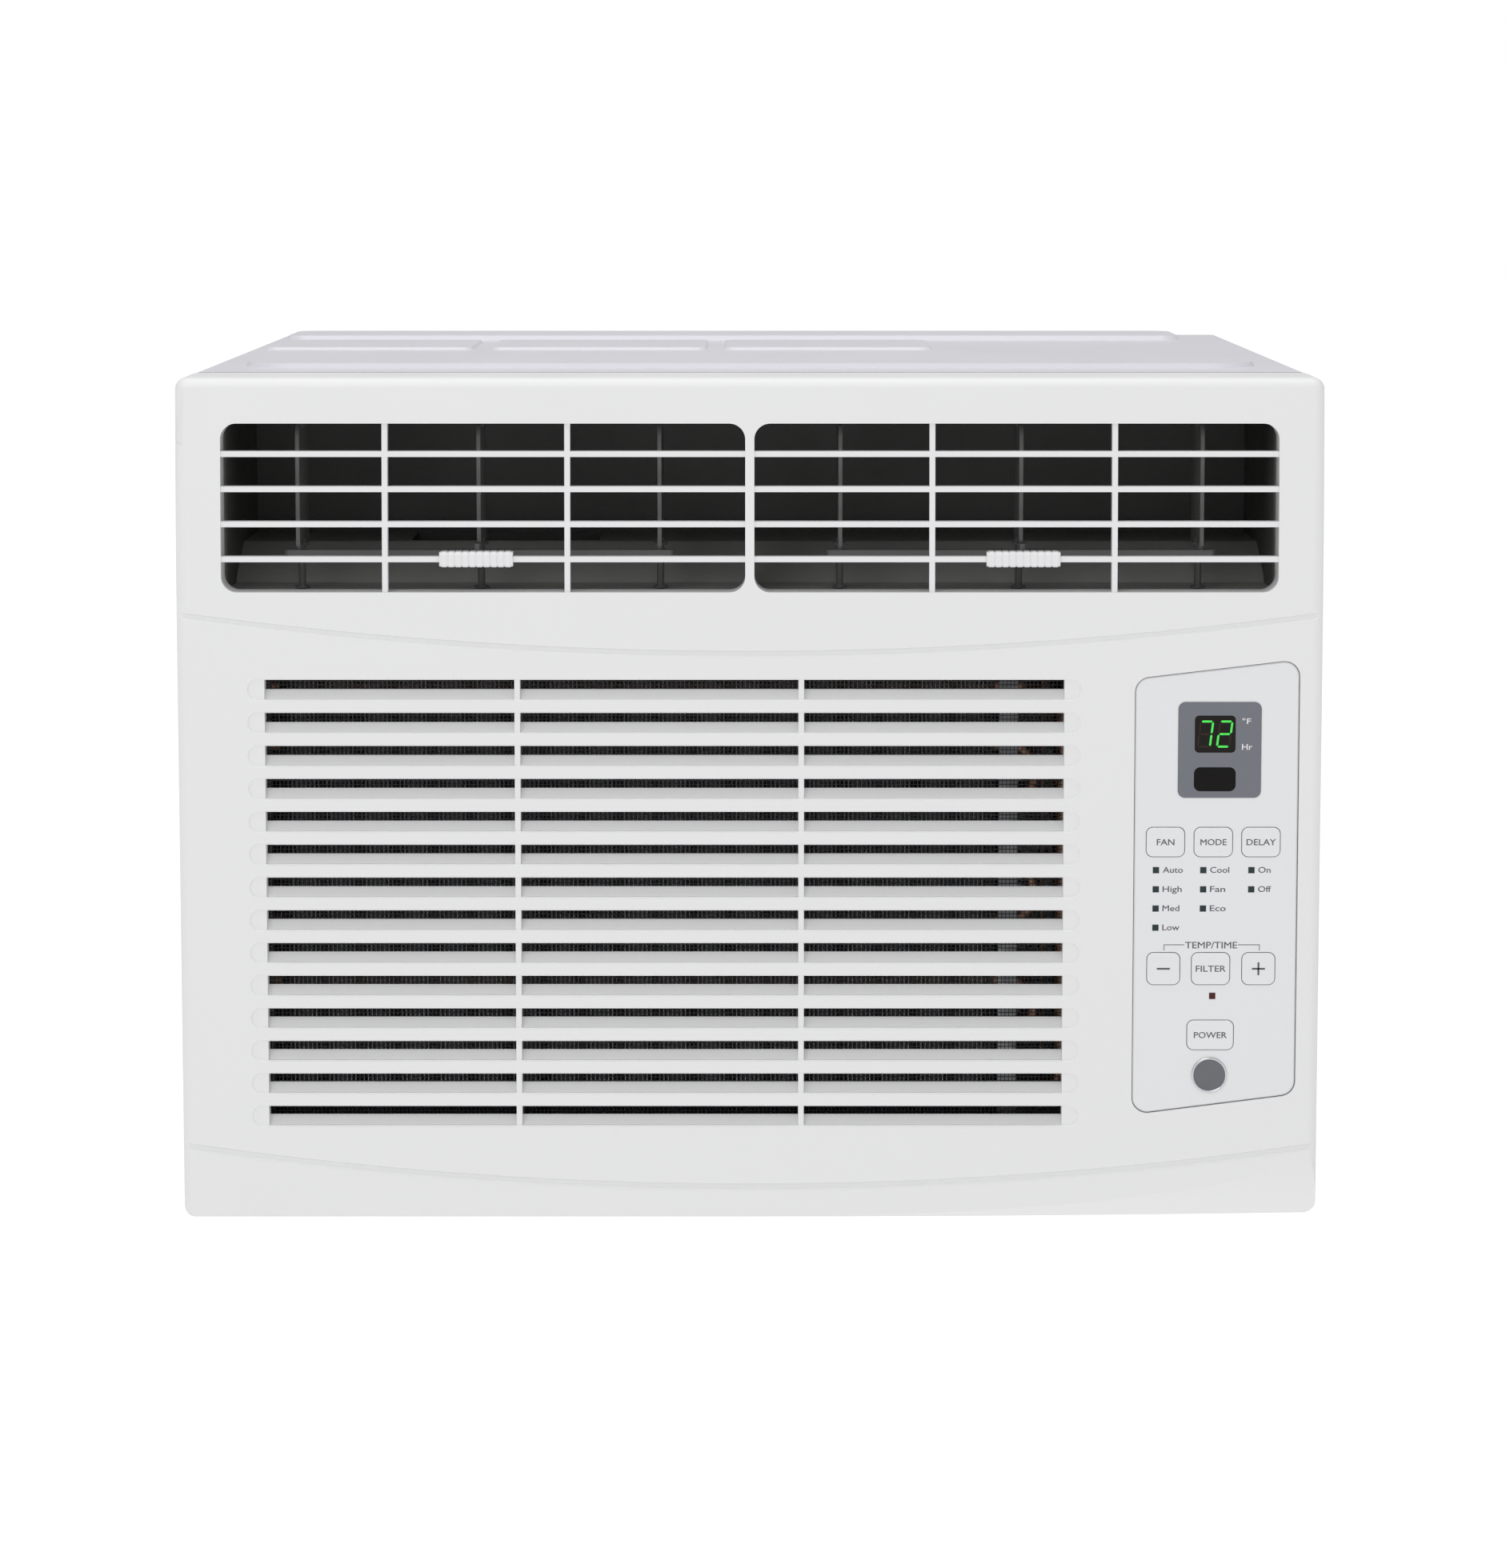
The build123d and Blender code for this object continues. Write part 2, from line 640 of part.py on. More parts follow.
with BuildPart() as intake_grille:
    with BuildSketch(upright(INNER_FRONT_Y)):
        with Locations((INSERT_X, INSERT_Z)):
            RectangleRounded(INSERT_W, INSERT_H, INSERT_R)
    extrude(amount=SKIN)
    # lip that laps behind the panel's skin
    with BuildSketch(upright(INNER_FRONT_Y + 1.5)):
        with Locations((INSERT_X, INSERT_Z)):
            RectangleRounded(INSERT_W + 5, INSERT_H + 5, INSERT_R + 2)
    extrude(amount=1.5)
    with BuildSketch(upright(FRONT_Y)):
        with Locations(*[((RECESS_LEFT + RECESS_RIGHT) / 2, z + SLOT_H / 2) for z in SLOT_BOTTOMS]):
            SlotOverall(RECESS_RIGHT - RECESS_LEFT, RECESS_H)
    extrude(amount=-RECESS_DEPTH, taper=40, mode=Mode.SUBTRACT)
    with BuildSketch(upright(INNER_FRONT_Y + 2)):
        for left, right in zip(RIB_EDGES[0::2], RIB_EDGES[1::2]):
            with Locations(*[((left + right) / 2, z + SLOT_H / 2) for z in SLOT_BOTTOMS]):
                Rectangle(right - left, SLOT_H)
    extrude(amount=SKIN + 5, mode=Mode.SUBTRACT)
    # sloping blades behind the bars
    with BuildSketch(Plane.YZ.offset(SLOT_LEFT)):
        for z in SLOT_BOTTOMS:
            with BuildLine():
                Polyline(
                    (INNER_FRONT_Y - 0.2, z), (INNER_FRONT_Y + BLADE_REACH, z + BLADE_RISE),
                    (INNER_FRONT_Y + BLADE_REACH + BLADE_T, z + BLADE_RISE - 0.7),
                    (INNER_FRONT_Y + BLADE_T, z - 1.0), (INNER_FRONT_Y - 0.2, z - 1.4), close=True,
                )
            make_face()
    extrude(amount=SLOT_RIGHT - SLOT_LEFT)
    # upright ribs and end walls that carry the blades
    with BuildSketch(upright(RIB_BACK_Y)):
        for x in (SLOT_LEFT - 1, *RIB_X, SLOT_RIGHT + 1):
            with Locations((x, INSERT_Z)):
                Rectangle(2.0 if x in (SLOT_LEFT - 1, SLOT_RIGHT + 1) else RIB_W, INSERT_H - 2)
    extrude(amount=RIB_BACK_Y - INNER_FRONT_Y + 0.2)
    # channels that guide the filter above and below
    guide_left = -PANEL_W / 2 + EDGE_R + 0.2
    for root_y, edge_z, inward in (
        (INNER_FRONT_Y, FILTER_BOTTOM - GUIDE_GAP, 1), (INNER_FRONT_Y + 1.4, FILTER_TOP + GUIDE_GAP, -1),
    ):
        outside_z = edge_z - inward * GUIDE_T
        lip_z = edge_z + inward * GUIDE_LIP
        with BuildSketch(Plane.YZ.offset(guide_left)):
            with BuildLine():
                Polyline(
                    (root_y, edge_z), (root_y, outside_z), (GUIDE_BACK_Y + GUIDE_T, outside_z),
                    (GUIDE_BACK_Y + GUIDE_T, lip_z), (GUIDE_BACK_Y, lip_z), (GUIDE_BACK_Y, edge_z),
                    (GUIDE_FRONT_Y, edge_z), (GUIDE_FRONT_Y, lip_z), (GUIDE_FRONT_Y - GUIDE_T, lip_z),
                    (GUIDE_FRONT_Y - GUIDE_T, edge_z), close=True,
                )
            make_face()
        extrude(amount=FILTER_RIGHT + 1 - guide_left)
    # foot that ties the lower channel to the insert
    with Locations((INSERT_X, INNER_FRONT_Y + 0.75, FILTER_BOTTOM - 0.5)):
        Box(300, 1.5, 3)

intake_grille.part.label = "intake_grille"
export_step(intake_grille.part, "parts/intake_grille.step")

# ---------------------------------------------------------------- discharge lattice
BAR_HEIGHTS = [LOW_BAR_Z + BAR_PITCH * row for row in range(BAR_ROWS)]

with BuildPart() as discharge_grille:
    with BuildSketch(upright(COLLAR_BACK_Y)):
        for side in (-1, 1):
            with Locations(*[(side * WINDOW_X, z) for z in BAR_HEIGHTS]):
                Rectangle(WINDOW_W, BAR_T)
            with Locations(*[(side * x, WINDOW_Z) for x in UPRIGHT_X]):
                Rectangle(BAR_T, WINDOW_H)
    extrude(amount=PANEL_DEPTH)
    # the lattice is one curved layer just behind the panel's face
    with BuildSketch(Plane.YZ):
        with BuildLine():
            low, mid, high = WINDOW_BOTTOM - 1, WINDOW_Z, WINDOW_TOP + 1
            near, far = BAR_RECESS, BAR_RECESS + BAR_DEPTH
            ThreePointArc((front_y(low, near), low), (front_y(mid, near), mid), (front_y(high, near), high))
            Line((front_y(high, near), high), (front_y(high, far), high))
            ThreePointArc((front_y(high, far), high), (front_y(mid, far), mid), (front_y(low, far), low))
            Line((front_y(low, far), low), (front_y(low, near), low))
        make_face()
    extrude(amount=PANEL_W, both=True, mode=Mode.INTERSECT)

discharge_grille.part.label = "discharge_grille"
export_step(discharge_grille.part, "parts/discharge_grille.step")

# ---------------------------------------------------------------- air filter
with BuildPart() as filter_frame:
    left = -PANEL_W / 2 + HANDLE_T
    mid_x = (left + FILTER_RIGHT) / 2
    mid_z = (FILTER_BOTTOM + FILTER_TOP) / 2
    width = FILTER_RIGHT - left
    height = FILTER_TOP - FILTER_BOTTOM
    with BuildSketch(upright(FILTER_Y + FILTER_T / 2)):
        with Locations((mid_x, mid_z)):
            Rectangle(width, height)
            Rectangle(width - 2 * FILTER_RIM, height - 2 * FILTER_RIM, mode=Mode.SUBTRACT)
        with Locations((RIB_X[0], mid_z), (RIB_X[1], mid_z)):
            Rectangle(3, height - FILTER_RIM)
    extrude(amount=FILTER_T)
    # the mesh's groove in the ribs and rim
    with Locations((mid_x, FILTER_Y, mid_z)):
        Box(width - 2 * FILTER_RIM + 2, 1.0, height - 2 * FILTER_RIM + 2, mode=Mode.SUBTRACT)
    # handle strip, flush with the panel's left side
    with Locations((-PANEL_W / 2 + HANDLE_T / 2, FILTER_Y, mid_z)):
        Box(HANDLE_T, FILTER_T + 2, height - 0.6)
    with Locations((-PANEL_W / 2, FILTER_Y, mid_z)):
        Box(3, 3, 40, mode=Mode.SUBTRACT)

filter_frame.part.label = "filter_frame"
export_step(filter_frame.part, "parts/filter_frame.step")

with BuildPart() as filter_mesh:
    with Locations((mid_x, FILTER_Y, mid_z)):
        Box(width - 2 * FILTER_RIM + 1.6, 0.8, height - 2 * FILTER_RIM + 1.6)

filter_mesh.part.label = "filter_mesh"
export_step(filter_mesh.part, "parts/filter_mesh.step")

# ---------------------------------------------------------------- air outlet duct
with BuildPart() as air_outlet_duct:
    duct_z = (DUCT_FLOOR + DUCT_CEILING) / 2
    duct_h = DUCT_CEILING - DUCT_FLOOR
    with BuildSketch(upright(DUCT_BACK_Y)):
        with Locations((0, duct_z)):
            RectangleRounded(2 * (DUCT_X + DUCT_T), duct_h + 2 * DUCT_T, 3)
        with Locations((-DUCT_X / 2 - 0.6, duct_z), (DUCT_X / 2 + 0.6, duct_z)):
            Rectangle(DUCT_X - 1.2, duct_h, mode=Mode.SUBTRACT)
    extrude(amount=DUCT_BACK_Y - COLLAR_BACK_Y)
    with Locations(*[(side * x, VANE_PIVOT_Y, duct_z) for side in (-1, 1) for x in VANE_X]):
        Cylinder(PIVOT_R + SHAFT_CLEARANCE, 90, mode=Mode.SUBTRACT)

air_outlet_duct.part.label = "air_outlet_duct"
export_step(air_outlet_duct.part, "parts/air_outlet_duct.step")

# ---------------------------------------------------------------- air vanes
COLLAR_R = 3.0


def build_vane(x, has_post):
    """Upright vane that turns about its own pins; the middle ones carry the knob's post."""
    with BuildPart() as piece:
        with BuildSketch(Plane.YZ.offset(x - VANE_T / 2)) as plate:
            with Locations(((VANE_FRONT_Y + VANE_BACK_Y) / 2, (VANE_BOTTOM + VANE_TOP) / 2)):
                Rectangle(VANE_BACK_Y - VANE_FRONT_Y, VANE_TOP - VANE_BOTTOM)
            fillet(plate.vertices().group_by(Axis.Y)[-1], 6)
        extrude(amount=VANE_T)
        # pivot pins with their collars
        for low, high, radius in (
            (DUCT_FLOOR - DUCT_T - 0.5, VANE_BOTTOM + 2, PIVOT_R),
            (VANE_TOP - 2, DUCT_CEILING + DUCT_T + 0.5, PIVOT_R),
            (DUCT_FLOOR + 0.4, DUCT_FLOOR + 1.2, COLLAR_R),
            (VANE_BOTTOM - 0.8, VANE_BOTTOM + 0.2, COLLAR_R),
            (VANE_TOP - 0.6, VANE_TOP + 1.0, COLLAR_R),
        ):
            with BuildSketch(Plane.XY.offset(low)):
                with Locations((x, VANE_PIVOT_Y)):
                    Circle(radius)
            extrude(amount=high - low)
        # pin for the link bar
        with BuildSketch(Plane.XY.offset(LINK_Z - LINK_H / 2 - 1.2)):
            with Locations((x, LINK_Y)):
                Circle(LINK_PIN_R)
        extrude(amount=VANE_BOTTOM + 1 - (LINK_Z - LINK_H / 2 - 1.2))
        if has_post:
            with Locations((x, (POST_Y + VANE_FRONT_Y + 2) / 2, VANE_BOTTOM + 0.9)):
                Box(VANE_T, VANE_FRONT_Y + 2 - POST_Y, 1.8)
            with BuildSketch(Plane.XY.offset(LINK_Z - 2.4)):
                with Locations((x, POST_Y)):
                    Circle(POST_R)
            extrude(amount=VANE_BOTTOM + 1.8 - (LINK_Z - 2.4))
    return piece


for side, side_name in ((-1, "left"), (1, "right")):
    for x, place in zip(VANE_X, ("inner", "middle", "outer")):
        vane = build_vane(side * x, place == "middle")
        vane.part.label = f"vane_{side_name}_{place}"
        export_step(vane.part, f"parts/vane_{side_name}_{place}.step")

# ---------------------------------------------------------------- link bars
for side, side_name in ((-1, "left"), (1, "right")):
    with BuildPart() as vane_link:
        link_left = VANE_X[0] - LINK_OVERHANG
        link_right = VANE_X[-1] + LINK_OVERHANG
        with BuildSketch(Plane.XY.offset(LINK_Z - LINK_H / 2)):
            with Locations((side * (link_left + link_right) / 2, LINK_Y)):
                SlotOverall(link_right - link_left, LINK_W)
            with Locations((side * VANE_X[1], LINK_Y)):
                Circle(LINK_PIN_R + SHAFT_CLEARANCE, mode=Mode.SUBTRACT)
            with Locations((side * VANE_X[0], LINK_Y), (side * VANE_X[2], LINK_Y)):
                Circle(LINK_PIN_R + FIT_GAP, mode=Mode.SUBTRACT)
        extrude(amount=LINK_H)
    vane_link.part.label = f"vane_link_{side_name}"
    export_step(vane_link.part, f"parts/vane_link_{side_name}.step")

# ---------------------------------------------------------------- vane knobs
KNOB_FRONT_Y = FRONT_Y + 0.1
KNOB_DEPTH = 8.0
KNOB_PITCH = (KNOB_W - 1.0) / KNOB_RIBS
LOW_BAR_FRONT_Y = front_y(LOW_BAR_Z, BAR_RECESS)
PRONG_T = 1.5
PRONG_END_Y = -180.6
PRONG_GAP = POST_R + 2 * FIT_GAP
KNOB_RIB_W = 2.4
KNOB_GROOVE = 0.3
KNOB_EDGE_R = 1.6

for side, side_name in ((-1, "left"), (1, "right")):
    knob_x = side * VANE_X[1]
    knob_mid_y = KNOB_FRONT_Y + KNOB_DEPTH / 2
    with BuildPart() as vane_knob:
        with BuildSketch(Plane.YZ.offset(knob_x - KNOB_W / 2)):
            with Locations((knob_mid_y, LOW_BAR_Z)):
                RectangleRounded(
                    KNOB_DEPTH - 2 * KNOB_GROOVE, KNOB_H - 2 * KNOB_GROOVE, KNOB_EDGE_R - KNOB_GROOVE
                )
        extrude(amount=KNOB_W)
        with BuildSketch(*[
            Plane.YZ.offset(knob_x + (index - (KNOB_RIBS - 1) / 2) * KNOB_PITCH - KNOB_RIB_W / 2)
            for index in range(KNOB_RIBS)
        ]):
            with Locations((knob_mid_y, LOW_BAR_Z)):
                RectangleRounded(KNOB_DEPTH, KNOB_H, KNOB_EDGE_R)
        extrude(amount=KNOB_RIB_W)
        rib_edges = vane_knob.edges().filter_by(lambda edge: edge.bounding_box().size.X < 0.01)
        outer_edges = [edge for edge in rib_edges
                       if edge.bounding_box().size.Z > KNOB_H - 2 * KNOB_EDGE_R - 0.2
                       and edge.length > 3 and abs(edge.center().Y - KNOB_FRONT_Y) < 0.01]
        chamfer(outer_edges, KNOB_GROOVE * 0.7)
        # channel for the lowest bar
        with Locations((knob_x, LOW_BAR_FRONT_Y + BAR_DEPTH / 2, LOW_BAR_Z)):
            Box(KNOB_W + 2, BAR_DEPTH + 2 * FIT_GAP, BAR_T + 2 * FIT_GAP, mode=Mode.SUBTRACT)
        # open fork that takes the vane's post
        knob_back_y = KNOB_FRONT_Y + KNOB_DEPTH
        for hand in (-1, 1):
            with Locations((
                knob_x + hand * (PRONG_GAP + PRONG_T / 2), (knob_back_y - 0.6 + PRONG_END_Y) / 2, LOW_BAR_Z
            )):
                Box(PRONG_T, PRONG_END_Y - knob_back_y + 0.6, 4.2)
    vane_knob.part.label = f"vane_knob_{side_name}"
    export_step(vane_knob.part, f"parts/vane_knob_{side_name}.step")

# ---------------------------------------------------------------- control panel
BEZEL_R = 3.0
BEZEL_BACK_Y = CONTROL_FACE_Y + 1.2
BEZEL_FRONT_Y = CONTROL_FACE_Y - 0.2
KEY_GAP = FIT_GAP

with BuildPart() as control_panel:
    with BuildSketch(upright(CONTROL_BACK_Y)):
        add(control_outline(-CONTROL_GAP))
    extrude(amount=CONTROL_BACK_Y - CONTROL_FACE_Y)
    chamfer(control_panel.faces().sort_by(Axis.Y)[0].edges(), 0.5)
    with BuildSketch(upright(CONTROL_BACK_Y + 1.0)):
        add(control_outline(3.0))
        add(control_outline(-4.0), mode=Mode.SUBTRACT)
    extrude(amount=CONTROL_BACK_Y + 1.0 - INNER_FRONT_Y)
    # openings for the keys, lights, display bezel and badge
    with BuildSketch(upright(CONTROL_BACK_Y + 1)):
        for x, z, key_w, key_h in KEYS.values():
            with Locations((x, z)):
                RectangleRounded(key_w + 2 * KEY_GAP, key_h + 2 * KEY_GAP, KEY_R + KEY_GAP)
        for x, count in LIGHT_COLUMNS:
            for index in range(count):
                with Locations((x, LIGHT_TOP_Z - index * LIGHT_PITCH)):
                    Rectangle(LIGHT_SIZE, LIGHT_SIZE)
        with Locations(FILTER_LIGHT):
            Rectangle(LIGHT_SIZE, LIGHT_SIZE)
        with Locations((DIGITS_X, DIGITS_Z)):
            Rectangle(DIGITS_W + 1, DIGITS_H + 1)
        with Locations((DIGITS_X, EYE_Z)):
            Rectangle(EYE_W + 1, EYE_H + 1)
    extrude(amount=5, mode=Mode.SUBTRACT)
    with BuildSketch(upright(BEZEL_BACK_Y)):
        with Locations((BEZEL_X, BEZEL_Z)):
            RectangleRounded(BEZEL_W, BEZEL_H, BEZEL_R)
    extrude(amount=5, mode=Mode.SUBTRACT)
    with BuildSketch(upright(CONTROL_FACE_Y + 0.5)):
        with Locations((BADGE_X, BADGE_Z)):
            Circle(BADGE_R)
    extrude(amount=5, mode=Mode.SUBTRACT)

control_panel.part.label = "control_panel"
export_step(control_panel.part, "parts/control_panel.step")

with BuildPart() as display_bezel:
    with BuildSketch(upright(BEZEL_BACK_Y)):
        with Locations((BEZEL_X, BEZEL_Z)):
            RectangleRounded(BEZEL_W, BEZEL_H, BEZEL_R)
        with Locations((DIGITS_X, DIGITS_Z)):
            RectangleRounded(DIGITS_W, DIGITS_H, 1.8, mode=Mode.SUBTRACT)
        with Locations((DIGITS_X, EYE_Z)):
            RectangleRounded(EYE_W, EYE_H, 2.6, mode=Mode.SUBTRACT)
    extrude(amount=BEZEL_BACK_Y - BEZEL_FRONT_Y)

display_bezel.part.label = "display_bezel"
export_step(display_bezel.part, "parts/display_bezel.step")

BOARD_Y = -188.6
BOARD_T = 1.6
SWITCH_W = 6.0
PLUNGER_R = 1.6

with BuildPart() as digit_display:
    with BuildSketch(upright(BOARD_Y)):
        with Locations((DIGITS_X, DIGITS_Z)):
            RectangleRounded(DIGITS_W, DIGITS_H, 1.8)
    extrude(amount=BOARD_Y - BEZEL_FRONT_Y - 0.25)

digit_display.part.label = "digit_display"
export_step(digit_display.part, "parts/digit_display.step")

with BuildPart() as infrared_window:
    with BuildSketch(upright(BEZEL_BACK_Y + 2)):
        with Locations((DIGITS_X, EYE_Z)):
            RectangleRounded(EYE_W, EYE_H, 2.6)
    extrude(amount=BEZEL_BACK_Y + 2 - BEZEL_FRONT_Y - 0.25)

infrared_window.part.label = "infrared_window"
export_step(infrared_window.part, "parts/infrared_window.step")

with BuildPart() as indicator_lights:
    with BuildSketch(upright(CONTROL_BACK_Y + 1.0)):
        for x, count in LIGHT_COLUMNS:
            for index in range(count):
                with Locations((x, LIGHT_TOP_Z - index * LIGHT_PITCH)):
                    Rectangle(LIGHT_SIZE, LIGHT_SIZE)
        with Locations(FILTER_LIGHT):
            Rectangle(LIGHT_SIZE, LIGHT_SIZE)
    extrude(amount=CONTROL_BACK_Y + 1.0 - CONTROL_FACE_Y + 0.05)

indicator_lights.part.label = "indicator_lights"
export_step(indicator_lights.part, "parts/indicator_lights.step")

with BuildPart() as badge:
    with BuildSketch(upright(CONTROL_FACE_Y + 0.5)):
        with Locations((BADGE_X, BADGE_Z)):
            Circle(BADGE_R)
    extrude(amount=0.8)
    chamfer(badge.faces().sort_by(Axis.Y)[0].edges(), 0.3)

badge.part.label = "badge"
export_step(badge.part, "parts/badge.step")

# ---------------------------------------------------------------- keys
KEY_LIP = 0.9
KEY_BACK_Y = CONTROL_BACK_Y + FIT_GAP + 0.8
SWITCH_TIP_Y = KEY_BACK_Y + KEY_TRAVEL + 0.1

for key_name, (x, z, key_w, key_h) in KEYS.items():
    with BuildPart() as key:
        with BuildSketch(upright(KEY_BACK_Y)):
            with Locations((x, z)):
                RectangleRounded(key_w, key_h, KEY_R)
        extrude(amount=KEY_BACK_Y - FRONT_Y)
        chamfer(key.faces().sort_by(Axis.Y)[0].edges(), 0.25)
        with BuildSketch(upright(KEY_BACK_Y)):
            with Locations((x, z)):
                RectangleRounded(key_w + 2 * KEY_LIP, key_h + 2 * KEY_LIP, KEY_R + KEY_LIP)
        extrude(amount=0.8)
    key.part.label = key_name
    export_step(key.part, f"parts/{key_name}.step")

# ---------------------------------------------------------------- control board and switches
with BuildPart() as control_board:
    with BuildSketch(upright(BOARD_Y + BOARD_T)):
        add(control_outline(-5.0))
    extrude(amount=BOARD_T)

control_board.part.label = "control_board"
export_step(control_board.part, "parts/control_board.step")

with BuildPart() as key_switches:
    with BuildSketch(upright(BOARD_Y)):
        with Locations(*[(x, z) for x, z, key_w, key_h in KEYS.values()]):
            RectangleRounded(SWITCH_W, SWITCH_W, 0.8)
    extrude(amount=BOARD_Y - SWITCH_TIP_Y - 1)
    with BuildSketch(upright(BOARD_Y - 1)):
        with Locations(*[(x, z) for x, z, key_w, key_h in KEYS.values()]):
            Circle(PLUNGER_R)
    extrude(amount=BOARD_Y - 1 - SWITCH_TIP_Y)

key_switches.part.label = "key_switches"
export_step(key_switches.part, "parts/key_switches.step")

# ---------------------------------------------------------------- indoor coil
EVAP_HEIGHTS = row_heights(EVAP_FIRST_Z, EVAP_PITCH, EVAP_PASSES)
FIN_HOLE = TUBE_R + 0.1
FIN_MARGIN = 3.0
END_FLANGE_W = 7.5


def fin_sketch(front, back, bottom, top, rows_y, heights):
    """One fin or end plate in the Y-Z plane, pierced for every tube pass."""
    with BuildSketch() as outline:
        with Locations(((front + back) / 2, (bottom + top) / 2)):
            Rectangle(back - front, top - bottom)
        with Locations(*[(y, z) for y in rows_y for z in heights]):
            Circle(FIN_HOLE, mode=Mode.SUBTRACT)
    return outline.sketch


def fin_planes(left, right):
    """The planes that a coil's fins stand on, from its left end plate to its right one."""
    count = int((right - left) / FIN_PITCH)
    return [Plane.YZ.offset(left + FIN_MARGIN + FIN_PITCH * index) for index in range(count)]


evap_fin = fin_sketch(EVAP_FRONT_Y, EVAP_BACK_Y, EVAP_BOTTOM, EVAP_TOP, EVAP_ROWS_Y, EVAP_HEIGHTS)

with BuildPart() as evaporator_fins:
    with BuildSketch(*fin_planes(EVAP_LEFT, EVAP_RIGHT)):
        add(evap_fin)
    extrude(amount=FIN_T)

evaporator_fins.part.label = "evaporator_fins"
export_step(evaporator_fins.part, "parts/evaporator_fins.step")

with BuildPart() as evaporator_end_plates:
    with BuildSketch(Plane.YZ.offset(EVAP_LEFT - 1), Plane.YZ.offset(EVAP_RIGHT)):
        add(evap_fin)
    extrude(amount=1.0)
    # front flange of the right plate
    with Locations((EVAP_RIGHT + END_FLANGE_W / 2, EVAP_FRONT_Y + 0.5, (EVAP_BOTTOM + EVAP_TOP) / 2)):
        Box(END_FLANGE_W, 1.0, EVAP_TOP - EVAP_BOTTOM)

evaporator_end_plates.part.label = "evaporator_end_plates"
export_step(evaporator_end_plates.part, "parts/evaporator_end_plates.step")

with BuildPart() as evaporator_tubes:
    for row_y in EVAP_ROWS_Y:
        row = serpentine(
            EVAP_LEFT - BEND_START, EVAP_RIGHT + BEND_START, row_y, EVAP_FIRST_Z, EVAP_PITCH, EVAP_PASSES,
            EVAP_STUB_X,
        )
        add(tube(row, TUBE_R))
    # bend that joins the two rows at the top
    with BuildLine(Plane.XY.offset(EVAP_HEIGHTS[-1])) as crossover:
        half_gap = (EVAP_ROWS_Y[1] - EVAP_ROWS_Y[0]) / 2
        ThreePointArc(
            (EVAP_STUB_X, EVAP_ROWS_Y[0]), (EVAP_STUB_X + half_gap, EVAP_ROWS_Y[0] + half_gap),
            (EVAP_STUB_X, EVAP_ROWS_Y[1]),
        )
    add(tube(crossover.line, TUBE_R))

evaporator_tubes.part.label = "evaporator_tubes"
export_step(evaporator_tubes.part, "parts/evaporator_tubes.step")

# ---------------------------------------------------------------- outdoor coil
COND_HEIGHTS = row_heights(COND_FIRST_Z, COND_PITCH, COND_PASSES)
cond_fin = fin_sketch(COND_FRONT_Y, COND_BACK_Y, COND_BOTTOM, COND_TOP, COND_ROWS_Y, COND_HEIGHTS)

with BuildPart() as condenser_fins:
    with BuildSketch(*fin_planes(COND_LEFT, COND_RIGHT)):
        add(cond_fin)
    extrude(amount=FIN_T)

condenser_fins.part.label = "condenser_fins"
export_step(condenser_fins.part, "parts/condenser_fins.step")

with BuildPart() as condenser_end_plates:
    with BuildSketch(Plane.YZ.offset(COND_LEFT - 1), Plane.YZ.offset(COND_RIGHT)):
        add(cond_fin)
    extrude(amount=1.0)

condenser_end_plates.part.label = "condenser_end_plates"
export_step(condenser_end_plates.part, "parts/condenser_end_plates.step")

with BuildPart() as condenser_tubes:
    for row_y in COND_ROWS_Y:
        row = serpentine(
            COND_LEFT - BEND_START, COND_RIGHT + BEND_START, row_y, COND_FIRST_Z, COND_PITCH, COND_PASSES,
            COND_STUB_X,
        )
        add(tube(row, TUBE_R))
    with BuildLine(Plane.XY.offset(COND_HEIGHTS[-1])) as crossover:
        half_gap = (COND_ROWS_Y[1] - COND_ROWS_Y[0]) / 2
        ThreePointArc(
            (COND_STUB_X, COND_ROWS_Y[0]), (COND_STUB_X + half_gap, COND_ROWS_Y[0] + half_gap),
            (COND_STUB_X, COND_ROWS_Y[1]),
        )
    add(tube(crossover.line, TUBE_R))

condenser_tubes.part.label = "condenser_tubes"
export_step(condenser_tubes.part, "parts/condenser_tubes.step")

# ---------------------------------------------------------------- indoor air path
ORIFICE_R = 70.0
ORIFICE_Z = 130.0
ORIFICE_H = 216.0
OUTLET_X = FAN_X - SCROLL_R / 2 - 10
OUTLET_W = SCROLL_R - 20

with BuildPart() as inlet_orifice:
    with BuildSketch(upright(SCROLL_FRONT_Y)):
        with Locations(((EVAP_LEFT + EVAP_RIGHT) / 2, ORIFICE_Z)):
            RectangleRounded(EVAP_RIGHT - EVAP_LEFT + 4, ORIFICE_H, 6)
        with Locations((FAN_X, FAN_Z)):
            Circle(ORIFICE_R, mode=Mode.SUBTRACT)
    extrude(amount=2)
    with BuildSketch(upright(WHEEL_FRONT_Y + 3)):
        with Locations((FAN_X, FAN_Z)):
            Circle(ORIFICE_R + 2)
            Circle(ORIFICE_R, mode=Mode.SUBTRACT)
    extrude(amount=WHEEL_FRONT_Y + 3 - SCROLL_FRONT_Y)

inlet_orifice.part.label = "inlet_orifice"
export_step(inlet_orifice.part, "parts/inlet_orifice.step")


def scroll_sketch(grow):
    """Scroll outline: a round chamber with a straight outlet going up its left side."""
    with BuildSketch() as outline:
        with Locations((FAN_X, FAN_Z)):
            Circle(SCROLL_R + grow)
        with Locations((OUTLET_X, (FAN_Z + SCROLL_TOP) / 2)):
            Rectangle(OUTLET_W + 2 * grow, SCROLL_TOP - FAN_Z)
    return outline.sketch


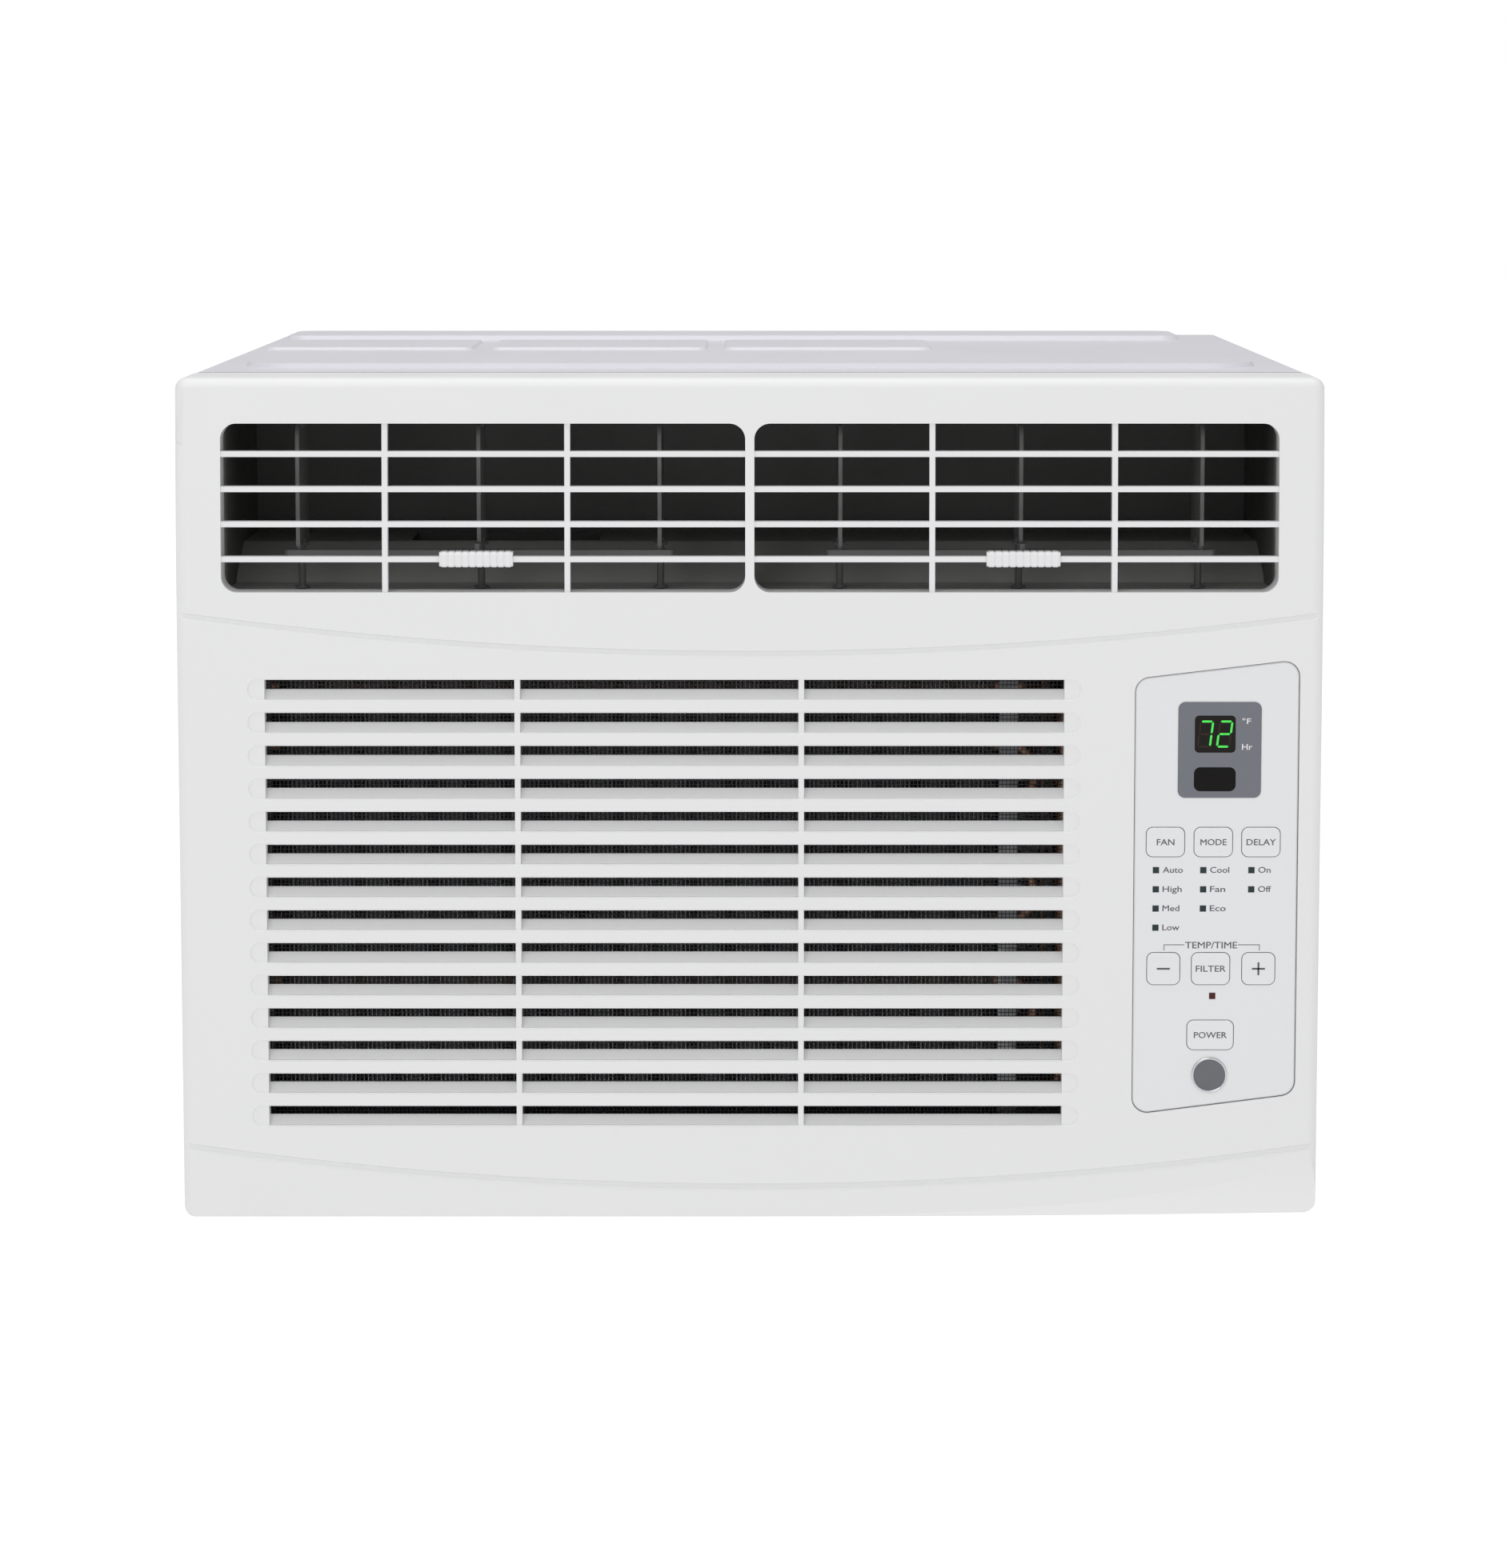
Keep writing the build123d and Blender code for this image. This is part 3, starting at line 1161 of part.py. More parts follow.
with BuildPart() as scroll_housing:
    with BuildSketch(upright(SCROLL_BACK_Y)):
        add(scroll_sketch(SCROLL_T))
    extrude(amount=SCROLL_BACK_Y - SCROLL_FRONT_Y)
    with BuildSketch(upright(SCROLL_BACK_Y - SCROLL_T)):
        add(scroll_sketch(0))
    extrude(amount=SCROLL_BACK_Y - SCROLL_FRONT_Y, mode=Mode.SUBTRACT)
    with BuildSketch(upright(SCROLL_BACK_Y)):
        with Locations((FAN_X, FAN_Z)):
            Circle(9)
    extrude(amount=5, mode=Mode.SUBTRACT)
    # foot on the base pan
    with Locations((FAN_X, (SCROLL_BACK_Y + SCROLL_FRONT_Y) / 2, (PAN_T + FAN_Z - SCROLL_R - 1) / 2)):
        Box(60, 60, FAN_Z - SCROLL_R - 1 - PAN_T)

scroll_housing.part.label = "scroll_housing"
export_step(scroll_housing.part, "parts/scroll_housing.step")

with BuildPart() as discharge_plenum:
    # cross-section: a floor that rises to the back, and a ceiling that curves down
    with BuildSketch(Plane.YZ.offset(-PLENUM_X)):
        with BuildLine():
            Polyline(
                (DUCT_BACK_Y, DUCT_FLOOR - PLENUM_T), (DUCT_BACK_Y, DUCT_CEILING + PLENUM_T),
                (-95, PLENUM_TOP), (-66, PLENUM_TOP), (BULKHEAD_Y, PLENUM_TOP - 16),
                (BULKHEAD_Y, PLENUM_BASE), (-118, PLENUM_BASE), close=True,
            )
        make_face()
    extrude(amount=2 * PLENUM_X)
    with BuildSketch(Plane.YZ.offset(PLENUM_T - PLENUM_X)):
        with BuildLine():
            Polyline(
                (DUCT_BACK_Y, DUCT_FLOOR), (DUCT_BACK_Y, DUCT_CEILING),
                (-95, PLENUM_TOP - PLENUM_T), (-67, PLENUM_TOP - PLENUM_T),
                (BULKHEAD_Y - PLENUM_T, PLENUM_TOP - 17), (BULKHEAD_Y - PLENUM_T, PLENUM_SHELF),
                (-106, PLENUM_SHELF), close=True,
            )
        make_face()
    extrude(amount=2 * (PLENUM_X - PLENUM_T), mode=Mode.SUBTRACT)
    # throat over the scroll's outlet
    with Locations((OUTLET_X, (SCROLL_BACK_Y + SCROLL_FRONT_Y) / 2 + 10, (PLENUM_BASE + PLENUM_SHELF) / 2)):
        Box(OUTLET_W, 40, PLENUM_SHELF - PLENUM_BASE + 6, mode=Mode.SUBTRACT)

discharge_plenum.part.label = "discharge_plenum"
export_step(discharge_plenum.part, "parts/discharge_plenum.step")

# ---------------------------------------------------------------- rotor
SHAFT_BACK_Y = PROP_BACK_Y + 4
SHAFT_FRONT_Y = WHEEL_FRONT_Y + 10
DISC_T = 1.8
WHEEL_HUB_R = 13.0
WHEEL_HUB_L = 18.0
PROP_HUB_R = 22.0
SLINGER_T = 2.0

with BuildPart() as motor_shaft:
    with BuildSketch(upright(SHAFT_BACK_Y)):
        with Locations((FAN_X, FAN_Z)):
            Circle(SHAFT_R)
    extrude(amount=SHAFT_BACK_Y - SHAFT_FRONT_Y)

motor_shaft.part.label = "motor_shaft"
export_step(motor_shaft.part, "parts/motor_shaft.step")

with BuildPart() as blower_wheel:
    # back disc, hub and front ring joined by the forward-curved blades
    with BuildSketch(upright(WHEEL_BACK_Y)):
        with Locations((FAN_X, FAN_Z)):
            Circle(WHEEL_R)
    extrude(amount=DISC_T)
    with BuildSketch(upright(WHEEL_BACK_Y)):
        with Locations((FAN_X, FAN_Z)):
            Circle(WHEEL_HUB_R)
    extrude(amount=WHEEL_HUB_L)
    with BuildSketch(upright(WHEEL_FRONT_Y + DISC_T)):
        with Locations((FAN_X, FAN_Z)):
            Circle(WHEEL_R)
            Circle(WHEEL_INNER_R, mode=Mode.SUBTRACT)
    extrude(amount=DISC_T)
    with BuildSketch(upright(WHEEL_BACK_Y - 1)):
        with Locations((FAN_X, FAN_Z)):
            with PolarLocations((WHEEL_R + WHEEL_INNER_R) / 2, WHEEL_BLADES):
                Rectangle(WHEEL_R - WHEEL_INNER_R - 1.5, 1.0, rotation=35)
    extrude(amount=WHEEL_BACK_Y - 1 - WHEEL_FRONT_Y - 1)
    with BuildSketch(upright(WHEEL_BACK_Y)):
        with Locations((FAN_X, FAN_Z)):
            Circle(SHAFT_R)
    extrude(amount=20, mode=Mode.SUBTRACT)

blower_wheel.part.label = "blower_wheel"
export_step(blower_wheel.part, "parts/blower_wheel.step")


PROP_PITCH = 32.0


def prop_plane(angle):
    """Plane of one propeller blade: X runs out along the blade, which is pitched to the disc."""
    pitch = radians(PROP_PITCH)
    out = Vector(cos(radians(angle)), 0, sin(radians(angle)))
    around = Vector(-sin(radians(angle)), 0, cos(radians(angle)))
    chord = around * cos(pitch) + Vector(0, sin(pitch), 0)
    hub = (FAN_X, (PROP_FRONT_Y + PROP_BACK_Y) / 2, FAN_Z)
    return Plane(origin=hub, x_dir=out, z_dir=out.cross(chord))


with BuildPart() as prop_blades:
    for index in range(PROP_BLADES):
        with BuildSketch(prop_plane(360 / PROP_BLADES * index)):
            with BuildLine():
                Polyline(
                    (PROP_HUB_R - 7, -12), (PROP_R + 3, -30), (PROP_R + 3, 30), (PROP_HUB_R - 7, 12),
                    close=True,
                )
            make_face()
        extrude(amount=0.8, both=True)
    with BuildSketch(upright(PROP_BACK_Y + 20)):
        with Locations((FAN_X, FAN_Z)):
            Circle(PROP_R - 1)
    extrude(amount=70, mode=Mode.INTERSECT)

with BuildPart() as condenser_fan:
    add(prop_blades.part)
    with BuildSketch(upright(PROP_BACK_Y)):
        with Locations((FAN_X, FAN_Z)):
            Circle(PROP_HUB_R)
    extrude(amount=PROP_BACK_Y - PROP_FRONT_Y)
    # slinger ring round the blade tips
    with BuildSketch(upright(PROP_BACK_Y)):
        with Locations((FAN_X, FAN_Z)):
            Circle(PROP_R)
            Circle(PROP_R - SLINGER_T, mode=Mode.SUBTRACT)
    extrude(amount=PROP_BACK_Y - PROP_FRONT_Y)
    with BuildSketch(upright(PROP_BACK_Y + 30)):
        with Locations((FAN_X, FAN_Z)):
            Circle(SHAFT_R)
    extrude(amount=80, mode=Mode.SUBTRACT)

condenser_fan.part.label = "condenser_fan"
export_step(condenser_fan.part, "parts/condenser_fan.step")

# ---------------------------------------------------------------- motor and its bracket
MOTOR_R = 44.0
MOTOR_HALF = 32.0
MOTOR_BOSS_R = 14.0
BRACKET_W = 110.0
BRACKET_D = 66.0
BRACKET_T = 2.0

with BuildPart() as fan_motor:
    with BuildSketch(upright(MOTOR_HALF)):
        with Locations((FAN_X, FAN_Z)):
            Circle(MOTOR_R)
    extrude(amount=2 * MOTOR_HALF)
    fillet(fan_motor.edges().filter_by(GeomType.CIRCLE), 6)
    with BuildSketch(upright(MOTOR_HALF + 10)):
        with Locations((FAN_X, FAN_Z)):
            Circle(MOTOR_BOSS_R)
    extrude(amount=2 * MOTOR_HALF + 20)
    with BuildSketch(upright(MOTOR_HALF + 20)):
        with Locations((FAN_X, FAN_Z)):
            Circle(SHAFT_R + SHAFT_CLEARANCE)
    extrude(amount=2 * MOTOR_HALF + 40, mode=Mode.SUBTRACT)

fan_motor.part.label = "fan_motor"
export_step(fan_motor.part, "parts/fan_motor.step")

with BuildPart() as motor_bracket:
    with BuildSketch(Plane.XY.offset(PAN_T)):
        with Locations((FAN_X, 0)):
            RectangleRounded(BRACKET_W, BRACKET_D, 4)
    extrude(amount=BRACKET_T)
    with BuildSketch(upright(-16), upright(18)):
        with BuildLine():
            Polyline(
                (FAN_X - 50, PAN_T + 1), (FAN_X - 36, FAN_Z), (FAN_X + 36, FAN_Z), (FAN_X + 50, PAN_T + 1),
                close=True,
            )
        make_face()
    extrude(amount=BRACKET_T)
    # cradle for the motor, and a lightening window below it
    with BuildSketch(upright(40)):
        with Locations((FAN_X, FAN_Z)):
            Circle(MOTOR_R)
        with Locations((FAN_X, 48)):
            RectangleRounded(44, 50, 8)
    extrude(amount=80, mode=Mode.SUBTRACT)

motor_bracket.part.label = "motor_bracket"
export_step(motor_bracket.part, "parts/motor_bracket.step")

# ---------------------------------------------------------------- bulkhead
# where the refrigerant pipes go through, X and Z
PIPE_PASS = (137.0, 220.0)

with BuildPart() as bulkhead:
    with BuildSketch(upright(BULKHEAD_Y + SHEET)):
        with Locations((0, (PAN_T + CASE_TOP - SHEET) / 2)):
            Rectangle(2 * (PAN_X - CASE_CORNER_R), CASE_TOP - SHEET - PAN_T)
        with Locations((FAN_X, FAN_Z)):
            Circle(MOTOR_BOSS_R, mode=Mode.SUBTRACT)
        with Locations(PIPE_PASS):
            SlotOverall(34, 24, mode=Mode.SUBTRACT)
    extrude(amount=SHEET)

bulkhead.part.label = "bulkhead"
export_step(bulkhead.part, "parts/bulkhead.step")

# ---------------------------------------------------------------- condenser shroud
SHROUD_Y = 112.0
SHROUD_R = 125.0
SHROUD_T = 1.5
SHROUD_Z = 172.0
SHROUD_H = 324.0
SHROUD_RING_L = 28.0

with BuildPart() as condenser_shroud:
    mid_x = (COND_LEFT + COND_RIGHT) / 2
    width = COND_RIGHT - COND_LEFT + 2
    with BuildSketch(upright(COND_FRONT_Y)):
        with Locations((mid_x, SHROUD_Z)):
            Rectangle(width, SHROUD_H)
    extrude(amount=COND_FRONT_Y - SHROUD_Y)
    with BuildSketch(upright(COND_FRONT_Y)):
        with Locations((mid_x, SHROUD_Z)):
            Rectangle(width - 2 * SHROUD_T, SHROUD_H - 2 * SHROUD_T)
    extrude(amount=COND_FRONT_Y - SHROUD_Y - SHROUD_T, mode=Mode.SUBTRACT)
    with BuildSketch(upright(SHROUD_Y)):
        with Locations((FAN_X, FAN_Z)):
            Circle(SHROUD_R + SHROUD_T)
    extrude(amount=SHROUD_RING_L)
    with BuildSketch(upright(SHROUD_Y + 5)):
        with Locations((FAN_X, FAN_Z)):
            Circle(SHROUD_R)
    extrude(amount=40, mode=Mode.SUBTRACT)

condenser_shroud.part.label = "condenser_shroud"
export_step(condenser_shroud.part, "parts/condenser_shroud.step")

# ---------------------------------------------------------------- compressor
with BuildPart() as compressor:
    with BuildSketch(Plane.XY.offset(COMP_BOTTOM)):
        with Locations((COMP_X, COMP_Y)):
            Circle(COMP_R)
    extrude(amount=COMP_TOP - COMP_BOTTOM)
    fillet(compressor.edges().filter_by(GeomType.CIRCLE).sort_by(Axis.Z)[-1], COMP_DOME_R)
    fillet(compressor.edges().filter_by(GeomType.CIRCLE).sort_by(Axis.Z)[0], COMP_BASE_R)
    # welded seam round the shell
    with BuildSketch(Plane.XY.offset(SEAM_Z)):
        with Locations((COMP_X, COMP_Y)):
            Circle(COMP_R + SEAM_STEP)
    extrude(amount=SEAM_H)
    # foot plate with three ears, and the neck that joins it to the shell
    with BuildSketch(Plane.XY.offset(FOOT_Z)):
        with Locations((COMP_X, COMP_Y)):
            Circle(FOOT_DISC_R)
            with PolarLocations(COMP_FOOT_R, 3, 90):
                Circle(FOOT_EAR_R)
            with PolarLocations(COMP_FOOT_R / 2, 3, 90):
                Rectangle(COMP_FOOT_R, 2 * FOOT_EAR_R)
    extrude(amount=FOOT_T)
    with BuildSketch(Plane.XY.offset(FOOT_Z + FOOT_T - 0.5)):
        with Locations((COMP_X, COMP_Y)):
            Circle(COMP_NECK_R)
    extrude(amount=COMP_BOTTOM - FOOT_Z - FOOT_T + 1)
    with BuildSketch(Plane.XY.offset(FOOT_Z - 5)):
        with Locations((COMP_X, COMP_Y)):
            with PolarLocations(COMP_FOOT_R, 3, 90):
                Circle(GROMMET_NECK_R + 0.1)
    extrude(amount=FOOT_T + 8, mode=Mode.SUBTRACT)

compressor.part.label = "compressor"
export_step(compressor.part, "parts/compressor.step")

with BuildPart() as compressor_grommets:
    foot_top = FOOT_Z + FOOT_T
    for low, high, radius in (
        (PAN_T, FOOT_Z, 9.0), (FOOT_Z, foot_top, GROMMET_NECK_R), (foot_top, GROMMET_TOP, 8.5),
    ):
        with BuildSketch(Plane.XY.offset(low)):
            with Locations((COMP_X, COMP_Y)):
                with PolarLocations(COMP_FOOT_R, 3, 90):
                    Circle(radius)
                    Circle(STUD_R + 0.1, mode=Mode.SUBTRACT)
        extrude(amount=high - low)

compressor_grommets.part.label = "compressor_grommets"
export_step(compressor_grommets.part, "parts/compressor_grommets.step")

with BuildPart() as compressor_nuts:
    with BuildSketch(Plane.XY.offset(GROMMET_TOP)):
        with Locations((COMP_X, COMP_Y)):
            with PolarLocations(COMP_FOOT_R, 3, 90):
                RegularPolygon(NUT_R, 6)
                Circle(STUD_R + SHAFT_CLEARANCE, mode=Mode.SUBTRACT)
    extrude(amount=5)

compressor_nuts.part.label = "compressor_nuts"
export_step(compressor_nuts.part, "parts/compressor_nuts.step")

with BuildPart() as accumulator:
    with BuildSketch(Plane.XZ.offset(-ACC_Y)):
        with BuildLine():
            Polyline(
                (ACC_X, ACC_BOTTOM), (ACC_X + 5, ACC_BOTTOM), (ACC_X + ACC_R, ACC_BOTTOM + 18),
                (ACC_X + ACC_R, ACC_TOP - 18), (ACC_X + 5, ACC_TOP), (ACC_X, ACC_TOP), close=True,
            )
        make_face()
    revolve(axis=Axis((ACC_X, ACC_Y, 0), (0, 0, 1)))

accumulator.part.label = "accumulator"
export_step(accumulator.part, "parts/accumulator.step")

# ---------------------------------------------------------------- refrigerant pipes
LINE_R = 4.0
LINE_BEND = 12.0
CAPILLARY_R = 1.2
# heights of the level runs, and how far right the hot gas pipe goes
SUCTION_Z = 215.0
RETURN_Z = 44.0
HOT_Z = 262.0
HOT_X = 224.0
PASS_Z = 226.0
shell_reach = (COMP_R + 0.4) / sqrt((COMP_X - ACC_X) ** 2 + (COMP_Y - ACC_Y) ** 2)
SHELL_INLET_X = COMP_X - (COMP_X - ACC_X) * shell_reach
SHELL_INLET_Y = COMP_Y - (COMP_Y - ACC_Y) * shell_reach
SUCTION_ROUTE = (
    (EVAP_STUB_X, EVAP_ROWS_Y[1], EVAP_FIRST_Z), (132, EVAP_ROWS_Y[1], EVAP_FIRST_Z),
    (132, EVAP_ROWS_Y[1], SUCTION_Z), (132, ACC_Y, SUCTION_Z), (ACC_X, ACC_Y, SUCTION_Z),
    (ACC_X, ACC_Y, ACC_TOP),
)
RETURN_ROUTE = (
    (ACC_X, ACC_Y, ACC_BOTTOM), (ACC_X, ACC_Y, RETURN_Z), (SHELL_INLET_X, SHELL_INLET_Y, RETURN_Z),
)
DISCHARGE_ROUTE = (
    (COMP_X + 15, COMP_Y, COMP_TOP + 0.2), (COMP_X + 15, COMP_Y, HOT_Z), (HOT_X, COMP_Y, HOT_Z),
    (HOT_X, COND_ROWS_Y[1], HOT_Z), (HOT_X, COND_ROWS_Y[1], COND_FIRST_Z),
    (COND_STUB_X, COND_ROWS_Y[1], COND_FIRST_Z),
)
LIQUID_ROUTE = (
    (COND_STUB_X, COND_ROWS_Y[0], COND_FIRST_Z), (DRIER_X, COND_ROWS_Y[0], COND_FIRST_Z),
    (DRIER_X, DRIER_Y, COND_FIRST_Z), (DRIER_X, DRIER_Y, DRIER_BOTTOM),
)
CAPILLARY_ROUTE = (
    (DRIER_X, DRIER_Y, DRIER_TOP), (DRIER_X, DRIER_Y, PASS_Z), (DRIER_X, -30, PASS_Z), (144, -30, PASS_Z),
    (144, -104, PASS_Z), (125, -124, PASS_Z), (125, -124, 52), (125, EVAP_ROWS_Y[0], EVAP_FIRST_Z),
    (EVAP_STUB_X, EVAP_ROWS_Y[0], EVAP_FIRST_Z),
)

with BuildPart() as refrigerant_lines:
    for route, radius, bends in (
        (SUCTION_ROUTE, LINE_R, (8, LINE_BEND, LINE_BEND, LINE_BEND)),
        (RETURN_ROUTE, LINE_R, (8,)),
        (DISCHARGE_ROUTE, TUBE_R, (LINE_BEND, LINE_BEND, LINE_BEND, 8)),
        (LIQUID_ROUTE, TUBE_R, (6, LINE_BEND)),
    ):
        with BuildLine() as run:
            FilletPolyline(*route, radius=bends)
        add(tube(run.line, radius))

refrigerant_lines.part.label = "refrigerant_lines"
export_step(refrigerant_lines.part, "parts/refrigerant_lines.step")

with BuildPart() as capillary_tube:
    with BuildLine() as capillary_run:
        FilletPolyline(*CAPILLARY_ROUTE, radius=(8, 8, 8, 8, 8, 6, 5))
    add(tube(capillary_run.line, CAPILLARY_R, 0.7))

capillary_tube.part.label = "capillary_tube"
export_step(capillary_tube.part, "parts/capillary_tube.step")

with BuildPart() as filter_drier:
    with BuildSketch(Plane.XZ.offset(-DRIER_Y)):
        with BuildLine():
            Polyline(
                (DRIER_X, DRIER_BOTTOM), (DRIER_X + 3, DRIER_BOTTOM), (DRIER_X + DRIER_R, DRIER_BOTTOM + 12),
                (DRIER_X + DRIER_R, DRIER_TOP - 12), (DRIER_X + 2, DRIER_TOP), (DRIER_X, DRIER_TOP),
                close=True,
            )
        make_face()
    revolve(axis=Axis((DRIER_X, DRIER_Y, 0), (0, 0, 1)))

filter_drier.part.label = "filter_drier"
export_step(filter_drier.part, "parts/filter_drier.step")

# ---------------------------------------------------------------- control box
BOX_X = 182.0
BOX_Y = -140.0
BOX_W = 78.0
BOX_D = 54.0
BOX_BOTTOM = 56.0
BOX_H = 184.0
CAPACITOR_R = 20.0
CAPACITOR_H = 70.0

with BuildPart() as control_box:
    with Locations((BOX_X, BOX_Y, BOX_BOTTOM + BOX_H / 2)):
        Box(BOX_W, BOX_D, BOX_H)
    offset(amount=-SHEET, openings=control_box.faces().sort_by(Axis.Z)[-1])

control_box.part.label = "control_box"
export_step(control_box.part, "parts/control_box.step")

with BuildPart() as run_capacitor:
    with BuildSketch(Plane.XY.offset(BOX_BOTTOM + SHEET)):
        with Locations((BOX_X - 8, BOX_Y)):
            Circle(CAPACITOR_R)
    extrude(amount=CAPACITOR_H)
    fillet(run_capacitor.edges().group_by(Axis.Z)[-1], 2)
    with BuildSketch(Plane.XY.offset(BOX_BOTTOM + SHEET + CAPACITOR_H)):
        with Locations((BOX_X - 14, BOX_Y), (BOX_X - 2, BOX_Y)):
            Rectangle(1, 6)
    extrude(amount=9)

run_capacitor.part.label = "run_capacitor"
export_step(run_capacitor.part, "parts/run_capacitor.step")

# ---------------------------------------------------------------- fasteners and cord inlet
with BuildPart() as case_screws:
    for side in (-1, 1):
        pan_places = [(side * y, SCREW_Z) for y in SCREW_Y]
        panel_places = [(side * PANEL_SCREW_Y, z) for z in PANEL_SCREW_Z]
        for seat_x, places in ((CASE_X, pan_places), (PANEL_W / 2 - HEAD_H, panel_places)):
            with BuildSketch(sideways(side * seat_x, side)):
                with Locations(*places):
                    Circle(HEAD_R)
            extrude(amount=HEAD_H)
            with BuildSketch(sideways(side * (seat_x - SCREW_L), side)):
                with Locations(*places):
                    Circle(SCREW_R)
            extrude(amount=SCREW_L + 0.2)
            with BuildSketch(sideways(side * (seat_x + HEAD_H - 0.6), side)):
                with Locations(*places):
                    Rectangle(CROSS_L, CROSS_W)
                    Rectangle(CROSS_W, CROSS_L)
            extrude(amount=2, mode=Mode.SUBTRACT)

case_screws.part.label = "case_screws"
export_step(case_screws.part, "parts/case_screws.step")

with BuildPart() as cord_bushing:
    for inner_x, outer_x, radius in (
        (CASE_X - SHEET - 2.5, CASE_X - SHEET, BUSHING_RIM_R), (CASE_X - SHEET, CASE_X, BUSHING_NECK_R),
        (CASE_X, CASE_X + 2, BUSHING_RIM_R),
    ):
        with BuildSketch(sideways(inner_x)):
            with Locations((CORD_Y, CORD_Z)):
                Circle(radius)
                Circle(CORD_R, mode=Mode.SUBTRACT)
        extrude(amount=outer_x - inner_x)

cord_bushing.part.label = "cord_bushing"
export_step(cord_bushing.part, "parts/cord_bushing.step")
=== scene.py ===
from math import atan, cos, pi, radians, sin, tan

import bmesh
import bpy
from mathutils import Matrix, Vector


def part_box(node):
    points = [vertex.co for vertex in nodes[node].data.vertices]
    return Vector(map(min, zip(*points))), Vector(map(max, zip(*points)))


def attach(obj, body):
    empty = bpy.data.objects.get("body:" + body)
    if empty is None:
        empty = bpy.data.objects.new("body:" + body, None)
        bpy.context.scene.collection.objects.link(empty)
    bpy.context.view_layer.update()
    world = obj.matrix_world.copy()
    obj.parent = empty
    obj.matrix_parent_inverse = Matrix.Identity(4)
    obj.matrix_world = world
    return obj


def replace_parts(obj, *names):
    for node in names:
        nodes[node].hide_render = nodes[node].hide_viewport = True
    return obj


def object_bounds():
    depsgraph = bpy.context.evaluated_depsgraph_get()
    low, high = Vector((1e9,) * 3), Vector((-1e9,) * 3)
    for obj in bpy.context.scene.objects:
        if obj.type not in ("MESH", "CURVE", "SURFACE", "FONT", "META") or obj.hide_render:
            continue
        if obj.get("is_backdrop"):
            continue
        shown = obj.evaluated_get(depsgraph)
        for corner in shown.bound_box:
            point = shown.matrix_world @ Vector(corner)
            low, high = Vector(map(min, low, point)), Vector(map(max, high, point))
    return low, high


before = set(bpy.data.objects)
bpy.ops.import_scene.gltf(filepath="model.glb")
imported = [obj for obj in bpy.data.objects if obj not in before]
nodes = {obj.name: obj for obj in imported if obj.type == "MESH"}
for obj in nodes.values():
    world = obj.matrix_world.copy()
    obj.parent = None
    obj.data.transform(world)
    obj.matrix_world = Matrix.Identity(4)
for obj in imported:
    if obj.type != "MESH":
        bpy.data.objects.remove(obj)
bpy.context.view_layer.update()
MM = 0.001


# ---------------------------------------------------------------- materials
class Surface:
    """A principled material with its nodes, built up step by step."""

    def __init__(self, name, color, roughness, metallic=0.0, specular=0.5):
        self.material = bpy.data.materials.new(name)
        self.material.use_nodes = True
        self.tree = self.material.node_tree
        self.shader = self.tree.nodes["Principled BSDF"]
        self.color = (*color, 1.0)
        self.shader.inputs["Base Color"].default_value = self.color
        self.shader.inputs["Roughness"].default_value = roughness
        self.shader.inputs["Metallic"].default_value = metallic
        self.shader.inputs["Specular IOR Level"].default_value = specular
        self.roughness = roughness
        self.place = self.tree.nodes.new("ShaderNodeTexCoord").outputs["Object"]
        self.normal = None

    def node(self, kind, **inputs):
        made = self.tree.nodes.new(kind)
        for key, value in inputs.items():
            made.inputs[key.replace("_", " ")].default_value = value
        return made

    def link(self, source, target):
        self.tree.links.new(source, target)

    def noise(self, size, detail=2.0, stretch=None):
        """Noise whose features are about size metres across."""
        made = self.node("ShaderNodeTexNoise", Scale=0.5 / size, Detail=detail)
        place = self.place
        if stretch:
            mapping = self.node("ShaderNodeMapping")
            mapping.inputs["Scale"].default_value = stretch
            self.link(place, mapping.inputs["Vector"])
            place = mapping.outputs["Vector"]
        self.link(place, made.inputs["Vector"])
        return made.outputs["Fac"]

    def cells(self, size, feature="F1"):
        """Cell pattern whose cells are about size metres across."""
        made = self.node("ShaderNodeTexVoronoi", Scale=1.0 / size)
        made.feature = feature
        self.link(self.place, made.inputs["Vector"])
        return made

    def spread(self, factor, low, high):
        """Maps a noise factor onto a range."""
        made = self.node("ShaderNodeMapRange", From_Min=0.3, From_Max=0.7, To_Min=low, To_Max=high)
        self.link(factor, made.inputs["Value"])
        return made.outputs["Result"]

    def tint(self, factor, amount, toward=(0.0, 0.0, 0.0)):
        """Varies the colour towards another by up to amount."""
        mix = self.tree.nodes.new("ShaderNodeMix")
        mix.data_type = "RGBA"
        mix.inputs["A"].default_value = self.color
        mix.inputs["B"].default_value = (*toward, 1.0)
        self.link(self.spread(factor, 0.0, amount), mix.inputs["Factor"])
        self.link(mix.outputs["Result"], self.shader.inputs["Base Color"])
        return self

    def scuff(self, factor, amount):
        """Varies the roughness by plus or minus amount."""
        low, high = self.roughness - amount, self.roughness + amount
        self.link(self.spread(factor, low, high), self.shader.inputs["Roughness"])
        return self

    def emboss(self, height, depth):
        """Adds relief of the given depth in metres."""
        bump = self.node("ShaderNodeBump", Strength=1.0, Distance=depth)
        self.link(height, bump.inputs["Height"])
        if self.normal:
            self.link(self.normal, bump.inputs["Normal"])
        self.normal = bump.outputs["Normal"]
        self.link(self.normal, self.shader.inputs["Normal"])
        return self


def moulded(name, color, roughness=0.42, grain=0.0005, depth=0.000012):
    """Moulded plastic: fine spark texture, with faint flow marks in its colour and gloss."""
    made = Surface(name, color, roughness)
    made.tint(made.noise(0.09, 3.0), 0.025, tuple(c * 0.82 for c in color))
    made.scuff(made.noise(0.02, 3.0), 0.05)
    made.emboss(made.noise(grain, 2.0), depth)
    made.emboss(made.noise(0.05, 1.0), 0.00012)
    return made.material


# depths between which the duct's painted light grows paler towards its front edge
PAINTED_LIGHT_BACK_Y = -0.166
PAINTED_LIGHT_FRONT_Y = -0.186


